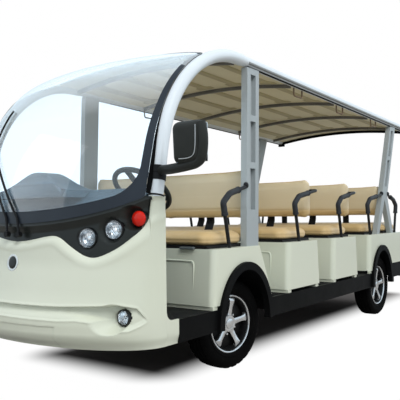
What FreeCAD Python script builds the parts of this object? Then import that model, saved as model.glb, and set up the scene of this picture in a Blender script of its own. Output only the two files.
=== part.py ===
# Open-sided electric minibus: driver's bench, three benches facing forward and one facing back,
# under a fixed roof.  +X is forward, +Y is the bus's left, +Z is up, and the origin is on the
# ground under the middle of the overall length.  Sizes are in millimetres and degrees.
import FreeCAD, Part
import math
import os
import re

from FreeCAD import Placement, Rotation, Vector

doc = FreeCAD.newDocument("minibus")

# ---------------------------------------------------------------- driving sizes
SIZES = {
    # whole bus
    "overall_length": 4500, "body_width": 1560, "front_overhang": 1215, "wheelbase": 2400,
    # clearances
    "fit_gap": 0.3, "running_gap": 0.3, "shaft_gap": 0.05, "move_gap": 12,
    # wheels
    "tyre_radius": 276, "tyre_width": 150, "tyre_shoulder": 26, "groove_width": 8, "groove_depth": 7,
    "groove_spacing": 34, "rim_radius": 172, "rim_width": 134, "rim_wall": 8, "lip_height": 9,
    "lip_width": 6, "spoke_count": 5, "spoke_width": 44, "spoke_depth": 24, "spoke_inset": 8,
    "wheel_hub_radius": 45, "spindle_radius": 18, "spindle_reach": 28,
    "hub_reach": 20,
    "front_track": "body_width - 330", "rear_track": "body_width - 214",
    # axles and steering
    "kingpin_spacing": "front_track - 100", "kingpin_radius": 12, "steer_angle": -9, "knuckle_length": 44,
    "knuckle_width": 36, "knuckle_height": 91.4, "steering_arm_length": 130,
    "steering_arm_width": 32, "steering_arm_depth": 14, "steering_arm_drop": 30,
    "tie_rod_radius": 9, "tie_rod_eye_radius": 18, "tie_rod_eye_depth": 20, "tie_rod_pin_radius": 8,
    "lug_thickness": 20, "lug_radius": 24, "front_beam_width": 50, "front_beam_height": 50,
    "yoke_thickness": 20, "rear_axle_radius": 30, "axle_case_radius": 92, "axle_case_width": 150,
    "spring_width": 50, "spring_half_length": 350, "spring_thickness": 18, "spring_eye": 40,
    "motor_radius": 85, "motor_length": 260,
    # frame and floor
    "floor_height": 408, "floor_thickness": 20, "rail_height": 80, "rail_width": 60,
    "rail_spacing": 660, "frame_rear": "60 - overall_length / 2", "frame_front": "overall_length / 2 - 210", "cross_member_width": 60,
    "nose_member_x": "overall_length / 2 - 750", "cab_member_x": "overall_length / 2 - 1650",
    "middle_member_x": "overall_length / 2 - 2450", "axle_member_x": "overall_length / 2 - 3050",
    "tail_member_x": "250 - overall_length / 2", "deck_rear": "51 - overall_length / 2",
    "toe_board_x": "overall_length / 2 - 270",
    "sill_bottom": 285, "sill_thickness": 25, "tail_sill_bottom": 325, "tail_sill_top": 463,
    "bumper_depth": 50, "bumper_corner": 30, "tail_lamp_width": 170, "tail_lamp_height": 70, "tail_lamp_depth": 22,
    "tail_lamp_y": 560,
    # nose of the body
    "panel_thickness": 20, "nose_side_x": "overall_length / 2 - 450", "fascia_bottom": 283,
    "fascia_side_top": 1057, "fascia_notch_x": "overall_length / 2 - 550",
    "fascia_notch_z": "floor_height + 4", "notch_radius": 48, "nose_top": 925, "chin_setback": 112,
    "chin_inset": 12, "bumper_low_z": 340, "bumper_low_setback": 5, "bumper_z": 430, "waist_z": 560,
    "waist_setback": 50, "nose_z": 710, "nose_setback": 88, "nose_top_setback": 118,
    "mask_centre_z": 829, "mask_peak_y": "body_width * 0.18", "mask_peak_z": 864,
    "mask_tip_y": "body_width * 0.33", "mask_tip_z": 746, "mask_low_y": "body_width * 0.392",
    "mask_low_z": 783, "mask_outer_y": "body_width * 0.452", "mask_outer_z": 858,
    "mask_end_y": "body_width / 2 - 28", "mask_end_z": 980,
    "head_lamp_radius": 52.5, "main_lamp_y": "body_width * 0.3115", "main_lamp_z": 847,
    "dip_lamp_y": "body_width * 0.3955", "dip_lamp_z": 888, "corner_lamp_radius": 42,
    "corner_lamp_y": "body_width * 0.4567", "corner_lamp_z": 943, "fog_lamp_radius": 42,
    "fog_lamp_y": "body_width * 0.4333", "fog_lamp_z": 453, "lamp_depth": 75,
    "lamp_stand": 2, "badge_radius": 46, "badge_thickness": 4,
    # windscreen
    "glass_thickness": 6, "glass_front_inset": 108, "glass_low_offset": 70, "glass_side_y": "body_width / 2 - 45",
    "glass_top_angle": 64, "header_angle": 2, "header_depth": 14,
    "wiper_pivot_y": 47, "wiper_pivot_drop": 60, "wiper_blade_y": -390, "wiper_arm_radius": 7,
    "wiper_blade_radius": 6, "wiper_arm_spacing": 102, "wiper_clearance": 4, "wiper_boss_radius": 16, "wiper_boss_depth": 24,
    # cab
    "dash_rear_x": "overall_length / 2 - 515", "dash_half_width": "body_width / 2 - 80",
    "dash_bottom": 860, "dash_top": 1107, "dash_lip": 40, "dash_flat": 70, "dash_front_drop": 70,
    "hump_y": -100, "hump_half_width": 330, "hump_height": 113, "hump_setback": 25,
    "hump_length": 160, "hump_front": 110,
    "post_width": 40, "post_x": "overall_length / 2 - 445",
    "wheel_centre_x": "overall_length / 2 - 610", "wheel_centre_y": 473, "wheel_centre_z": 1104, "column_lean": 40,
    "column_radius": 24, "column_length": 540, "column_shaft_radius": 12, "column_shaft_length": 60,
    "grip_radius": 15, "grip_ring_radius": 170, "boss_radius": 42, "boss_depth": 46,
    "pedal_width": 70, "pedal_height": 90, "pedal_thickness": 12, "pedal_arm": 12, "pedal_x": "overall_length / 2 - 320",
    "pedal_z": 520, "pedal_spacing": 130,
    "mirror_x": "overall_length / 2 - 400", "mirror_depth": 84,
    "mirror_inner_y": "body_width / 2 + 135", "mirror_width": 190, "mirror_bottom": 1197,
    "mirror_height": 220, "mirror_corner": 36, "mirror_arm_radius": 21, "mirror_arm_z": 1192,
    "mirror_clamp_top": 1214, "mirror_arm_sag": 8,
    # roof
    "rail_tube": 66, "arch_radius": 744, "arch_centre_x": "overall_length / 2 - 1197", "arch_lean": 10.5,
    "roof_rail_z": 1934, "roof_rail_fall": 1.7, "roof_side_y": "body_width / 2 - 35",
    "roof_camber": 58,
    "roof_thickness": 10, "roof_rear_inset": 20, "rib_count": 5, "rib_spacing": 760,
    "rib_depth": 24, "rib_width": 26, "rear_trim_depth": 38, "rear_corner_bottom": 1775,
    "rear_corner_width": 76, "foot_sleeve": 76, "foot_sleeve_top": 1140,
    "handle_radius": 6, "handle_length": 130, "handle_drop": 52, "handle_inset": 14,
    "handle_setback": 262,
    # seat boxes
    "box_top": 758, "box_foot": 22, "box_depth": 440, "box_flare": 25, "box_corner_radius": 40,
    "foot_length": 45, "foot_inset": 6,
    "front_box_x": "overall_length / 2 - 887", "second_box_x": "overall_length / 2 - 1792",
    "third_box_x": "overall_length / 2 - 2550", "rear_box_x": "overall_length / 2 - 3332",
    "front_box_depth": 500, "front_box_tail": 148, "rear_box_depth": 880, "rear_box_tail": 60,
    "arch_half_width": 262, "arch_height": 341, "flare_width": 48, "flare_stand": 20,
    "rear_arch_half_width": 225, "rear_arch_height": 330, "well_gap": 64, "well_thickness": 5,
    "well_reach": 180, "well_side_gap": 38,
    "battery_width": 1200, "battery_length": 340, "battery_height": 270,
    # benches
    "pan_thickness": 17, "cushion_thickness": 86, "cushion_depth": 415, "rear_cushion_depth": 375,
    "cushion_width": 1440, "cushion_radius": 30, "cushion_inset": 5, "backrest_bottom": 930,
    "backrest_top": 1215, "front_backrest_top": 1250, "backrest_thickness": 70,
    "backrest_width": 1420, "back_overhang": 25, "rear_seat_depth": 440, "stem_width": 60,
    "stem_thickness": 10, "stem_spacing": 700, "stem_base_inset": 15, "stem_base": 12,
    "stem_top": 1150,
    # grab rails
    "grab_radius": 12, "grab_bend": 40, "grab_outset": 21, "grab_setback": 172, "grab_rise": 60,
    "grab_rear_setback": 38, "grab_knee_z": 1030, "grab_arm_z": 1085, "grab_reach": 70,
    "grab_end_z": 1132, "grab_end_gap": 4,
    # pillars
    "pillar_length": 143, "pillar_width": 45, "pillar_foot_x": "overall_length / 2 - 1321", "pillar_lean": 42,
    "pillar_pocket": 30, "slot_length": 62, "slot_height": 262, "slot_bridge": 40,
    "rear_pillar_head_x": "530 - overall_length / 2",
    "rear_pillar_neck_x": "804 - overall_length / 2", "rear_pillar_join_z": 1122,
    "rear_pillar_front_foot_x": "969 - overall_length / 2",
    "rear_pillar_rear_foot_x": "511 - overall_length / 2", "rear_pillar_leg": 70,
}

sheet = doc.addObject("Spreadsheet::Sheet", "Sizes")
for row, (alias, number) in enumerate(SIZES.items(), start=1):
    sheet.set(f"A{row}", alias)
    sheet.set(f"B{row}", f"={number}" if isinstance(number, str) else str(number))
    sheet.setAlias(f"B{row}", alias)
doc.recompute()


def formula(text):
    """A formula over size names, as the sheet's own names for them."""
    return re.sub(r"[a-z]+(?:_[a-z]+)*", lambda m: "Sizes." + m[0] if m[0] in SIZES else m[0], str(text))


# Places that several pieces share, as formulas over the sheet.
FRONT_AXLE = "(overall_length / 2 - front_overhang)"
REAR_AXLE = "(overall_length / 2 - front_overhang - wheelbase)"
SIDE = "(body_width / 2)"
FLOOR_BOTTOM = "(floor_height - floor_thickness)"
RAIL_BOTTOM = "(floor_height - floor_thickness - rail_height)"
BOX_BOTTOM = "(floor_height + box_foot)"
PAN_TOP = "(box_top + pan_thickness)"
CUSHION_TOP = "(box_top + pan_thickness + cushion_thickness)"


def number(text):
    """The value of a formula over size names."""
    return float(sheet.evalExpression(formula(text)))


# ---------------------------------------------------------------- ways of making pieces
def bind(piece, **formulas):
    """Binds properties of a piece, such as Length or Radius, to formulas over the sheet."""
    for prop, text in formulas.items():
        piece.setExpression(prop, formula(text))


def place(piece, x="0", y="0", z="0"):
    for letter, text in zip("xyz", (x, y, z)):
        piece.setExpression(f"Placement.Base.{letter}", formula(text))


def turn(piece, axis, degrees):
    """Turns a piece about its own origin, and binds the angle."""
    piece.Placement = Placement(Vector(0, 0, 0), Rotation(Vector(*axis), 1))
    piece.setExpression("Placement.Rotation.Angle", formula(degrees))


def box(name, x, y, z):
    """A block between two formulas along each axis."""
    piece = doc.addObject("Part::Box", name)
    for prop, (low, high) in zip(("Length", "Width", "Height"), (x, y, z)):
        bind(piece, **{prop: f"({high}) - ({low})"})
    place(piece, x[0], y[0], z[0])
    return piece


def cylinder(name, radius, length, x, y, z, along="Z"):
    """A round bar that starts at a point and runs along one axis."""
    piece = doc.addObject("Part::Cylinder", name)
    bind(piece, Radius=radius, Height=length)
    if along == "X":
        turn(piece, (0, 1, 0), "90")
    if along == "Y":
        turn(piece, (1, 0, 0), "-90")
    place(piece, x, y, z)
    return piece


def join(name, *pieces):
    piece = doc.addObject("Part::MultiFuse", name)
    piece.Shapes = list(pieces)
    return piece


def gather(name, *pieces):
    """Separate solids that share one node."""
    piece = doc.addObject("Part::Compound", name)
    piece.Links = list(pieces)
    return piece


def cut(name, base, *tools):
    piece = doc.addObject("Part::Cut", name)
    piece.Base = base
    piece.Tool = tools[0] if len(tools) == 1 else join(name + "_tools", *tools)
    return piece


def mirror(name, source, normal=(0, 1, 0)):
    piece = doc.addObject("Part::Mirroring", name)
    piece.Source = source
    piece.Normal = Vector(*normal)
    return piece


def both_sides(name, source):
    """A left-hand piece and its right-hand copy, in one node."""
    return gather(name, source, mirror(name + "_right", source))


def shaped(name, shape):
    """A piece whose form is worked out below from the sheet's values."""
    piece = doc.addObject("Part::Feature", name)
    piece.Shape = shape
    return piece


def polygon(points, plane="XZ"):
    """A flat face through (x, z), (y, z) or (x, y) points."""
    spots = {"XZ": lambda a, b: Vector(a, 0, b), "YZ": lambda a, b: Vector(0, a, b),
             "XY": lambda a, b: Vector(a, b, 0)}[plane]
    corners = [spots(number(a), number(b)) for a, b in points]
    return Part.Face(Part.makePolygon(corners + corners[:1]))


def prism(points, y0, y1):
    """A side profile carried across the bus from y0 to y1."""
    face = polygon(points)
    face.translate(Vector(0, number(y0), 0))
    return face.extrude(Vector(0, number(f"({y1}) - ({y0})"), 0))


def tube(points, radius, bend=0.0):
    """A round bar along straight runs with a tangent arc at each corner."""
    spots = [Vector(*(number(c) for c in p)) for p in points]
    edges = []
    start = spots[0]
    for before, corner, after in zip(spots, spots[1:], spots[2:]):
        a, b = (before - corner).normalize(), (after - corner).normalize()
        half = a.getAngle(b) / 2
        reach = bend / math.tan(half)
        first, last = corner + a * reach, corner + b * reach
        middle = corner + (a + b).normalize() * (bend / math.sin(half) - bend)
        edges += [Part.LineSegment(start, first).toShape(), Part.Arc(first, middle, last).toShape()]
        start = last
    edges.append(Part.LineSegment(start, spots[-1]).toShape())
    path = Part.Wire(edges)
    ring = Part.Wire(Part.makeCircle(radius, spots[0], spots[1] - spots[0]))
    return path.makePipeShell([ring], True, False)


def rounded(name, piece, radius):
    """All of a block's edges rounded."""
    doc.recompute()
    fillet = doc.addObject("Part::Fillet", name)
    fillet.Base = piece
    edge_count = len(piece.Shape.Edges)
    fillet.Edges = [(i, number(radius), number(radius)) for i in range(1, edge_count + 1)]
    return fillet


NODES = {}


def node(label, piece):
    """Names a finished piece as one of the bus's sub-parts."""
    piece.Label = label
    NODES[label] = piece


# ---------------------------------------------------------------- frame and floor
CROSS_MEMBERS = ("nose_member_x", "cab_member_x", "middle_member_x", "axle_member_x", "tail_member_x")


def build_frame():
    rails = []
    for side, y in (("left", "rail_spacing / 2"), ("right", "-rail_spacing / 2")):
        rails.append(box(f"rail_{side}", ("frame_rear", "frame_front"),
                         (f"{y} - rail_width / 2", f"{y} + rail_width / 2"),
                         (RAIL_BOTTOM, FLOOR_BOTTOM)))
    for i, x in enumerate(CROSS_MEMBERS):
        rails.append(box(f"cross_member_{i}", (f"{x} - cross_member_width / 2", f"{x} + cross_member_width / 2"),
                         (f"-{SIDE} + sill_thickness", f"{SIDE} - sill_thickness"),
                         (RAIL_BOTTOM, FLOOR_BOTTOM)))
    node("chassis_frame", join("frame_weld", *rails))


def oval_bar(axle, half_width, height, y0, y1):
    """A bar of oval section across the bus, centred on a wheel seen from the side."""
    a, b = number(half_width), number(height)
    oval = Part.Ellipse(Vector(0, 0, 0), max(a, b), min(a, b)).toShape()
    face = Part.Face(Part.Wire(oval))
    if b > a:
        face.rotate(Vector(0, 0, 0), Vector(0, 0, 1), 90)
    face.rotate(Vector(0, 0, 0), Vector(1, 0, 0), 90)
    face.translate(Vector(number(axle), number(y0), number("tyre_radius")))
    return face.extrude(Vector(0, number(f"({y1}) - ({y0})"), 0))


def across(shape):
    """The shape together with its copy on the other side of the bus."""
    return Part.makeCompound([shape, shape.mirror(Vector(0, 0, 0), Vector(0, 1, 0))])


def block(x0, x1, y0, y1, z0, z1):
    x, y, z, far_x, far_y, far_z = (number(t) for t in (x0, y0, z0, x1, y1, z1))
    return Part.makeBox(far_x - x, far_y - y, far_z - z, Vector(x, y, z))


WELL_RADIUS = "(tyre_radius + well_gap)"
WELL_INSIDE = "(kingpin_spacing / 2 - well_reach)"
REAR_WELL_INSIDE = "(rear_track / 2 - tyre_width / 2 - well_side_gap)"


def wheel_space(axle, inside, radius, grow="0"):
    """The round space that a wheel needs above its axle, out through the side panel."""
    start = number(f"{inside} - ({grow})")
    return Part.makeCylinder(number(f"{radius} + {grow}"), number(f"{SIDE} - sill_thickness") - start,
                             Vector(number(axle), start, number("tyre_radius")), Vector(0, 1, 0))


def build_floor():
    deck = block("deck_rear", "fascia_notch_x", f"-{SIDE} + sill_thickness", f"{SIDE} - sill_thickness",
                 FLOOR_BOTTOM, "floor_height")
    nose = nose_solid("panel_thickness + fit_gap", "0").common(
        block("fascia_notch_x", "toe_board_x", f"-{SIDE}", SIDE, FLOOR_BOTTOM, "floor_height"))
    deck = deck.fuse(nose).removeSplitter()
    spaces = [across(wheel_space(FRONT_AXLE, WELL_INSIDE, WELL_RADIUS, "well_thickness")),
              across(wheel_space(REAR_AXLE, REAR_WELL_INSIDE, WELL_RADIUS, "well_thickness"))]
    node("floor_deck", shaped("deck", deck.cut(spaces)))

    wells = []
    for axle, inside in ((FRONT_AXLE, WELL_INSIDE), (REAR_AXLE, REAR_WELL_INSIDE)):
        shell = wheel_space(axle, inside, WELL_RADIUS, "well_thickness").cut(
            wheel_space(axle, inside, WELL_RADIUS))
        shell = shell.cut(block("-overall_length", "overall_length", "0", "body_width", "-body_width",
                                FLOOR_BOTTOM))
        wells.append(shell)
    node("wheel_wells", shaped("wells", Part.makeCompound([s for w in wells for s in across(w).Solids])))


def flare_ring(axle, half_width, height):
    outer = oval_bar(axle, f"{half_width} + flare_width", f"{height} + flare_width",
                     f"{SIDE} - sill_thickness", f"{SIDE} + flare_stand")
    inner = oval_bar(axle, half_width, height, f"{SIDE} - sill_thickness - 1", f"{SIDE} + flare_stand + 1")
    ring = outer.cut(inner)
    return ring.common(block(f"{axle} - body_width", f"{axle} + body_width", "0", "body_width",
                             "sill_bottom", "box_top"))


def build_sills():
    openings = [oval_bar(axle, f"{w} + flare_width + fit_gap", f"{h} + flare_width + fit_gap", "0",
                         "body_width") for axle, w, h in ((FRONT_AXLE, "arch_half_width", "arch_height"),
                                   (REAR_AXLE, "rear_arch_half_width", "rear_arch_height"))]
    skirt = block(REAR_AXLE, "fascia_notch_x - fit_gap", f"{SIDE} - sill_thickness", SIDE, "sill_bottom", "floor_height")
    tail = block("-overall_length / 2 + bumper_depth + fit_gap", REAR_AXLE, f"{SIDE} - sill_thickness", SIDE, "tail_sill_bottom", "tail_sill_top")
    runs = skirt.cut(openings).Solids + tail.cut(openings).Solids
    node("side_sills", shaped("sills", Part.makeCompound([s for r in runs for s in across(r).Solids])))
    rings = [flare_ring(FRONT_AXLE, "arch_half_width", "arch_height"),
             flare_ring(REAR_AXLE, "rear_arch_half_width", "rear_arch_height")]
    node("arch_flares", shaped("flares", Part.makeCompound([s for r in rings for s in across(r).Solids])))


# ---------------------------------------------------------------- nose of the body
# Each level of the nose: height, how far it lies behind the very front, and how far the sides
# come in.
NOSE_LEVELS = [
    ("fascia_bottom", "chin_setback", "chin_inset"),
    ("bumper_low_z", "bumper_low_setback", "0"),
    ("bumper_z", "0", "0"),
    ("waist_z", "waist_setback", "0"),
    ("nose_z", "nose_setback", "0"),
    ("nose_top", "glass_front_inset", "0"),
    ("fascia_side_top", "nose_top_setback", "0"),
]


def plan_wire(z, setback, inset, wall="0", back="fascia_notch_x"):
    """The D-shaped plan of the nose at one height: half an ellipse with straight sides behind it."""
    reach = number(f"overall_length / 2 - nose_side_x - ({setback}) - ({wall})")
    half = number(f"{SIDE} - ({inset}) - ({wall})")
    quarter = Part.Arc(Vector(0, 1, 0), Vector(1, 0, 0), Vector(0, -1, 0)).toShape()
    stretch = FreeCAD.Matrix()
    stretch.scale(reach, half, 1)
    bow = quarter.transformGeometry(stretch)
    height = number(z)
    bow.translate(Vector(number("nose_side_x"), 0, height))
    rear, side = number(back), number("nose_side_x")
    corners = [Vector(side, -half, height), Vector(rear, -half, height),
               Vector(rear, half, height), Vector(side, half, height)]
    sides = [Part.LineSegment(a, b).toShape() for a, b in zip(corners, corners[1:])]
    return Part.Wire([bow] + sides)


def nose_solid(wall="0", back="fascia_notch_x"):
    """The whole nose as one block, or what lies inside a wall of it."""
    wires = [plan_wire(z, setback, inset, wall, back) for z, setback, inset in NOSE_LEVELS]
    return Part.makeLoft(wires, True, True)


LAMPS = {
    # pair name: (y, z, radius) of each round lamp in the nose
    "main_lamp": ("main_lamp_y", "main_lamp_z", "head_lamp_radius"),
    "dip_lamp": ("dip_lamp_y", "dip_lamp_z", "head_lamp_radius"),
    "corner_lamp": ("corner_lamp_y", "corner_lamp_z", "corner_lamp_radius"),
    "fog_lamp": ("fog_lamp_y", "fog_lamp_z", "fog_lamp_radius"),
}


def nose_x(y, z):
    """How far forward the nose's outer face reaches at this y and z."""
    line = Part.LineSegment(Vector(0, number(y), number(z)),
                            Vector(number("overall_length"), number(y), number(z))).toShape()
    return line.common(nose_solid("0", "0")).BoundBox.XMax


def lamp_bar(pair, grow="0", back="lamp_depth"):
    """A round bar along the bus through one lamp's place."""
    y, z, radius = LAMPS[pair]
    start = nose_x(y, z) - number(back)
    return Part.makeCylinder(number(f"{radius} + {grow}"), number("overall_length / 2") - start + 1,
                             Vector(start, number(y), number(z)), Vector(1, 0, 0))


def glass_seat(gap=0.0):
    """What lies above the sloping plane that the windscreen's foot stands on."""
    side, top = glass_side(0, 0).x, number("fascia_side_top") - gap
    front, low = number(GLASS_FRONT_X), number("nose_top") - gap
    far = number("overall_length")
    slope = (low - top) / (front - side)
    return prism([(far, top + slope * (far - side)), (far, far), (0, far), (0, top), (side, top)],
                 "-body_width", "body_width")


# The lower outline of the lamp mask, from the middle out to its upper corner: y and z.
MASK_OUTLINE = [
    ("0", "mask_centre_z"), ("mask_peak_y", "mask_peak_z"), ("mask_tip_y", "mask_tip_z"),
    ("mask_low_y", "mask_low_z"), ("mask_outer_y", "mask_outer_z"), ("mask_end_y", "mask_end_z"),
]


def build_nose():
    shell = nose_solid().cut(nose_solid("panel_thickness", "fascia_notch_x - panel_thickness"))
    shell = shell.cut(glass_seat())
    notch = block("0", "nose_side_x", "-body_width", "body_width", "fascia_notch_z", "overall_length")
    corner = [e for e in notch.Edges if abs(e.BoundBox.XMin - number("nose_side_x")) < 1
              and e.BoundBox.ZMax - number("fascia_notch_z") < 1 and e.BoundBox.YLength > 1]
    shell = shell.cut(notch.makeFillet(number("notch_radius"), corner))
    outline = [Vector(0, number(y), number(z)) for y, z in MASK_OUTLINE]
    outline = [Vector(0, -v.y, v.z) for v in reversed(outline[1:])] + outline
    curve = Part.BSplineCurve()
    curve.interpolate(outline)
    above = number("fascia_side_top + 1")
    corners = [outline[-1], Vector(0, outline[-1].y, above), Vector(0, outline[0].y, above), outline[0]]
    sides = [Part.LineSegment(a, b).toShape() for a, b in zip(corners, corners[1:])]
    zone = Part.Face(Part.Wire([curve.toShape()] + sides))
    zone = zone.extrude(Vector(number("overall_length"), 0, 0))
    holes = [across(lamp_bar(pair, "fit_gap", "2 * lamp_depth")) for pair in LAMPS]
    node("front_fascia", shaped("fascia", shell.cut(zone).cut(holes)))
    node("lamp_mask", shaped("mask", shell.common(zone).cut(holes)))
    skin = nose_solid("-lamp_stand", "0")
    for label, pairs in (("front_lamps", ("main_lamp", "dip_lamp", "fog_lamp")),
                         ("corner_lamps", ("corner_lamp",))):
        bars = [s for pair in pairs for s in across(lamp_bar(pair).common(skin)).Solids]
        node(label, shaped(label + "_drums", Part.makeCompound(bars)))
    badge = Part.makeCylinder(number("badge_radius"), number("overall_length"),
                              Vector(number("nose_side_x"), 0, number("nose_z")), Vector(1, 0, 0))
    badge = badge.common(nose_solid("-badge_thickness", "0")).cut(nose_solid("-fit_gap", "0"))
    node("nose_badge", shaped("badge", badge))


# ---------------------------------------------------------------- windscreen and roof
GLASS_FRONT_X = "(overall_length / 2 - glass_front_inset)"
GLASS_HIGH_OFFSET = "(rail_tube / 2 + glass_thickness + fit_gap)"
ARCH_CENTRE_Z = "(roof_rail_z - arch_radius)"


def arch_point(angle, offset=0.0, y=0.0, below=0.0):
    """A point on the arch at an angle above its centre, some distance outside its centre line.

    A point below the arch's lower end lies that far down its straight leg.
    """
    radius = number("arch_radius") + offset
    turned = math.radians(angle)
    x = number("arch_centre_x") + radius * math.cos(turned) + below * math.sin(turned)
    z = number(ARCH_CENTRE_Z) + radius * math.sin(turned) - below * math.cos(turned)
    return Vector(x, y, z)


def leg_length(offset=0.0):
    """How long the straight leg is from the arch's lower end down to the top of the nose."""
    lean = number("arch_lean")
    return (arch_point(lean, offset).z - number("fascia_side_top")) / math.cos(math.radians(lean))


def glass_side(share, y):
    """The windscreen's side edge, from its foot on the nose up along the arch."""
    lean, top = number("arch_lean"), number("glass_top_angle")
    low, high = number("glass_low_offset"), number(GLASS_HIGH_OFFSET)
    offset = low + (high - low) * min(2 * share, 1)
    leg = leg_length(offset)
    along = share * (leg + number("arch_radius") * math.radians(top - lean))
    if along < leg:
        return arch_point(lean, offset, y, leg - along)
    return arch_point(lean + math.degrees((along - leg) / number("arch_radius")), offset, y)


def glass_section(share):
    """One closed cross-section of the windscreen, bowed forward between its two side edges."""
    half, reach = number("glass_side_y"), number(SIDE)
    side = glass_side(share, 0)
    foot = glass_side(0, 0)
    first = Vector(number(GLASS_FRONT_X), 0, number("nose_top")) - foot
    pitch = math.atan2(first.z, first.x)
    tilt = pitch + share * (math.pi / 2 - pitch)
    bow = first.Length + share * (number("roof_camber") - first.Length)
    ahead = Vector(math.cos(tilt), 0, math.sin(tilt))
    edge = math.sqrt(1 - (half / reach) ** 2)
    edges, ends = [], []
    for depth in (0, number("glass_thickness")):
        points = []
        for step in range(-5, 6):
            y = half * math.sin(math.radians(90) * step / 5)
            rise = (math.sqrt(1 - (y / reach) ** 2) - edge) / (1 - edge)
            points.append(side + ahead * (bow * rise - depth) + Vector(0, y, 0))
        curve = Part.BSplineCurve()
        curve.interpolate(points)
        edges.append(curve.toShape())
        ends.append((points[0], points[-1]))
    caps = [Part.LineSegment(a, b).toShape() for a, b in zip(*ends)]
    return Part.Wire([edges[0], caps[1], edges[1], caps[0]])


def build_windscreen():
    shares = [0, 0.12, 0.3, 0.5, 0.75, 1]
    glass = Part.makeLoft([glass_section(s) for s in shares], True)
    node("windscreen", shaped("glass", glass.common(glass_seat(-number("fit_gap")))))
    half = number("roof_side_y - rail_tube / 2 - fit_gap")
    sections = []
    for angle in ("glass_top_angle", "glass_top_angle - header_angle"):
        centre = arch_point(number(angle), number("rail_tube / 2"))
        sections.append(roof_section(centre, half, number("roof_camber"), number("header_depth")))
    node("windscreen_header", shaped("header", Part.makeLoft(sections, True, True)))


def swept(points, radius):
    """A round bar along a smooth curve."""
    curve = Part.BSplineCurve()
    curve.interpolate(points)
    ring = Part.Wire(Part.makeCircle(radius, points[0], points[1] - points[0]))
    return Part.Wire(curve.toShape()).makePipeShell([ring], True, False)


def on_glass(share, y, stand):
    """A point that stands off the windscreen, at a share of its height and this far across."""
    reach, half = number(SIDE), number("glass_side_y")
    edge = math.sqrt(1 - (half / reach) ** 2)
    rise = (math.sqrt(1 - (y / reach) ** 2) - edge) / (1 - edge)
    side, foot = glass_side(share, 0), glass_side(0, 0)
    first = Vector(number(GLASS_FRONT_X), 0, number("nose_top")) - foot
    pitch = math.atan2(first.z, first.x)
    tilt = pitch + share * (math.pi / 2 - pitch)
    bow = (first.Length + share * (number("roof_camber") - first.Length)) * rise + stand
    return side + Vector(bow * math.cos(tilt), y, bow * math.sin(tilt))


def build_wiper():
    """The wiper: two side-by-side arms from pivots on the nose, which keep one blade upright."""
    radius, blade = number("wiper_arm_radius"), number("wiper_blade_radius")
    stand, close = radius + number("wiper_clearance"), blade + number("wiper_clearance")
    reach, drop = number("wiper_blade_y"), "nose_top - wiper_pivot_drop"
    whole = swept([on_glass(s, reach, close) for s in (0.1, 0.2, 0.3, 0.4, 0.51)], blade)
    for pivot, top in (("wiper_pivot_y", 0.31), ("wiper_pivot_y - wiper_arm_spacing", 0.26)):
        y, low = number(pivot), 0.02
        shares = [low + (top - low) * step / 4 for step in range(5)]
        arm = swept([on_glass(s, y + (reach - y) * s / top, stand) for s in shares], radius)
        foot = on_glass(low, y + (reach - y) * low / top, stand)
        spot = nose_x(pivot, drop) + number("fit_gap")
        boss = Part.makeCylinder(number("wiper_boss_radius"), number("wiper_boss_depth"),
                                 Vector(spot, y, number(drop)), Vector(1, 0, 0))
        link = Part.makeCylinder(radius, (foot - boss.CenterOfMass).Length, boss.CenterOfMass,
                                 foot - boss.CenterOfMass)
        whole = whole.fuse([arm, boss, link])
    node("wiper", shaped("wiper_set", whole.cut(nose_solid("-fit_gap", "0"))))


def rail_z(x):
    """Height of the roof rail's centre line."""
    fall = math.radians(number("roof_rail_fall"))
    top = number(ARCH_CENTRE_Z) + number("arch_radius") / math.cos(fall)
    return top - (number("arch_centre_x") - x) * math.tan(fall)


def rail_under(x, gap="fit_gap"):
    return rail_z(x) - number(f"rail_tube / 2 + {gap}") / math.cos(math.radians(number("roof_rail_fall")))


def build_roof_rails():
    y = number("roof_side_y")
    lean, fall = number("arch_lean"), number("roof_rail_fall")
    corner, crest = arch_point(lean, 0, y), arch_point(90 + fall, 0, y)
    foot = arch_point(lean, 0, y, leg_length() + number("rail_tube"))
    rear = number("-overall_length / 2 + roof_rear_inset")
    rear = Vector(rear, y, rail_z(rear))
    arc = Part.Arc(corner, arch_point((lean + 90 + fall) / 2, 0, y), crest).toShape()
    path = Part.Wire([Part.LineSegment(foot, corner).toShape(), arc,
                      Part.LineSegment(crest, rear).toShape()])
    ring = Part.Wire(Part.makeCircle(number("rail_tube / 2"), foot, corner - foot))
    rail = path.makePipeShell([ring], True, False)
    sleeve_top = number("foot_sleeve_top")
    sleeve = Part.makeCylinder(number("foot_sleeve / 2"), (corner - foot).Length, foot, corner - foot)
    sleeve = sleeve.cut(block("0", "overall_length", "0", "body_width", "foot_sleeve_top", "overall_length"))
    rail = rail.fuse(sleeve)
    rail = rail.cut(block("-overall_length", "-overall_length / 2 + roof_rear_inset", "0", "body_width",
                          "0", "overall_length"))
    rail = rail.cut(block("0", "overall_length", "0", "body_width", "0", "fascia_side_top"))
    node("roof_rails", shaped("rails", across(rail)))


def roof_section(centre, half, camber, thickness, drop=0.0):
    """One closed section of the roof: a shallow arc from rail to rail, with some thickness."""
    arcs, ends = [], []
    for low in (drop, drop + thickness):
        left, right = centre + Vector(0, -half, -low), centre + Vector(0, half, -low)
        arcs.append(Part.Arc(left, centre + Vector(0, 0, camber - low), right).toShape())
        ends.append((left, right))
    caps = [Part.LineSegment(a, b).toShape() for a, b in zip(*ends)]
    return Part.Wire([arcs[0], caps[1], arcs[1], caps[0]])


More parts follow.
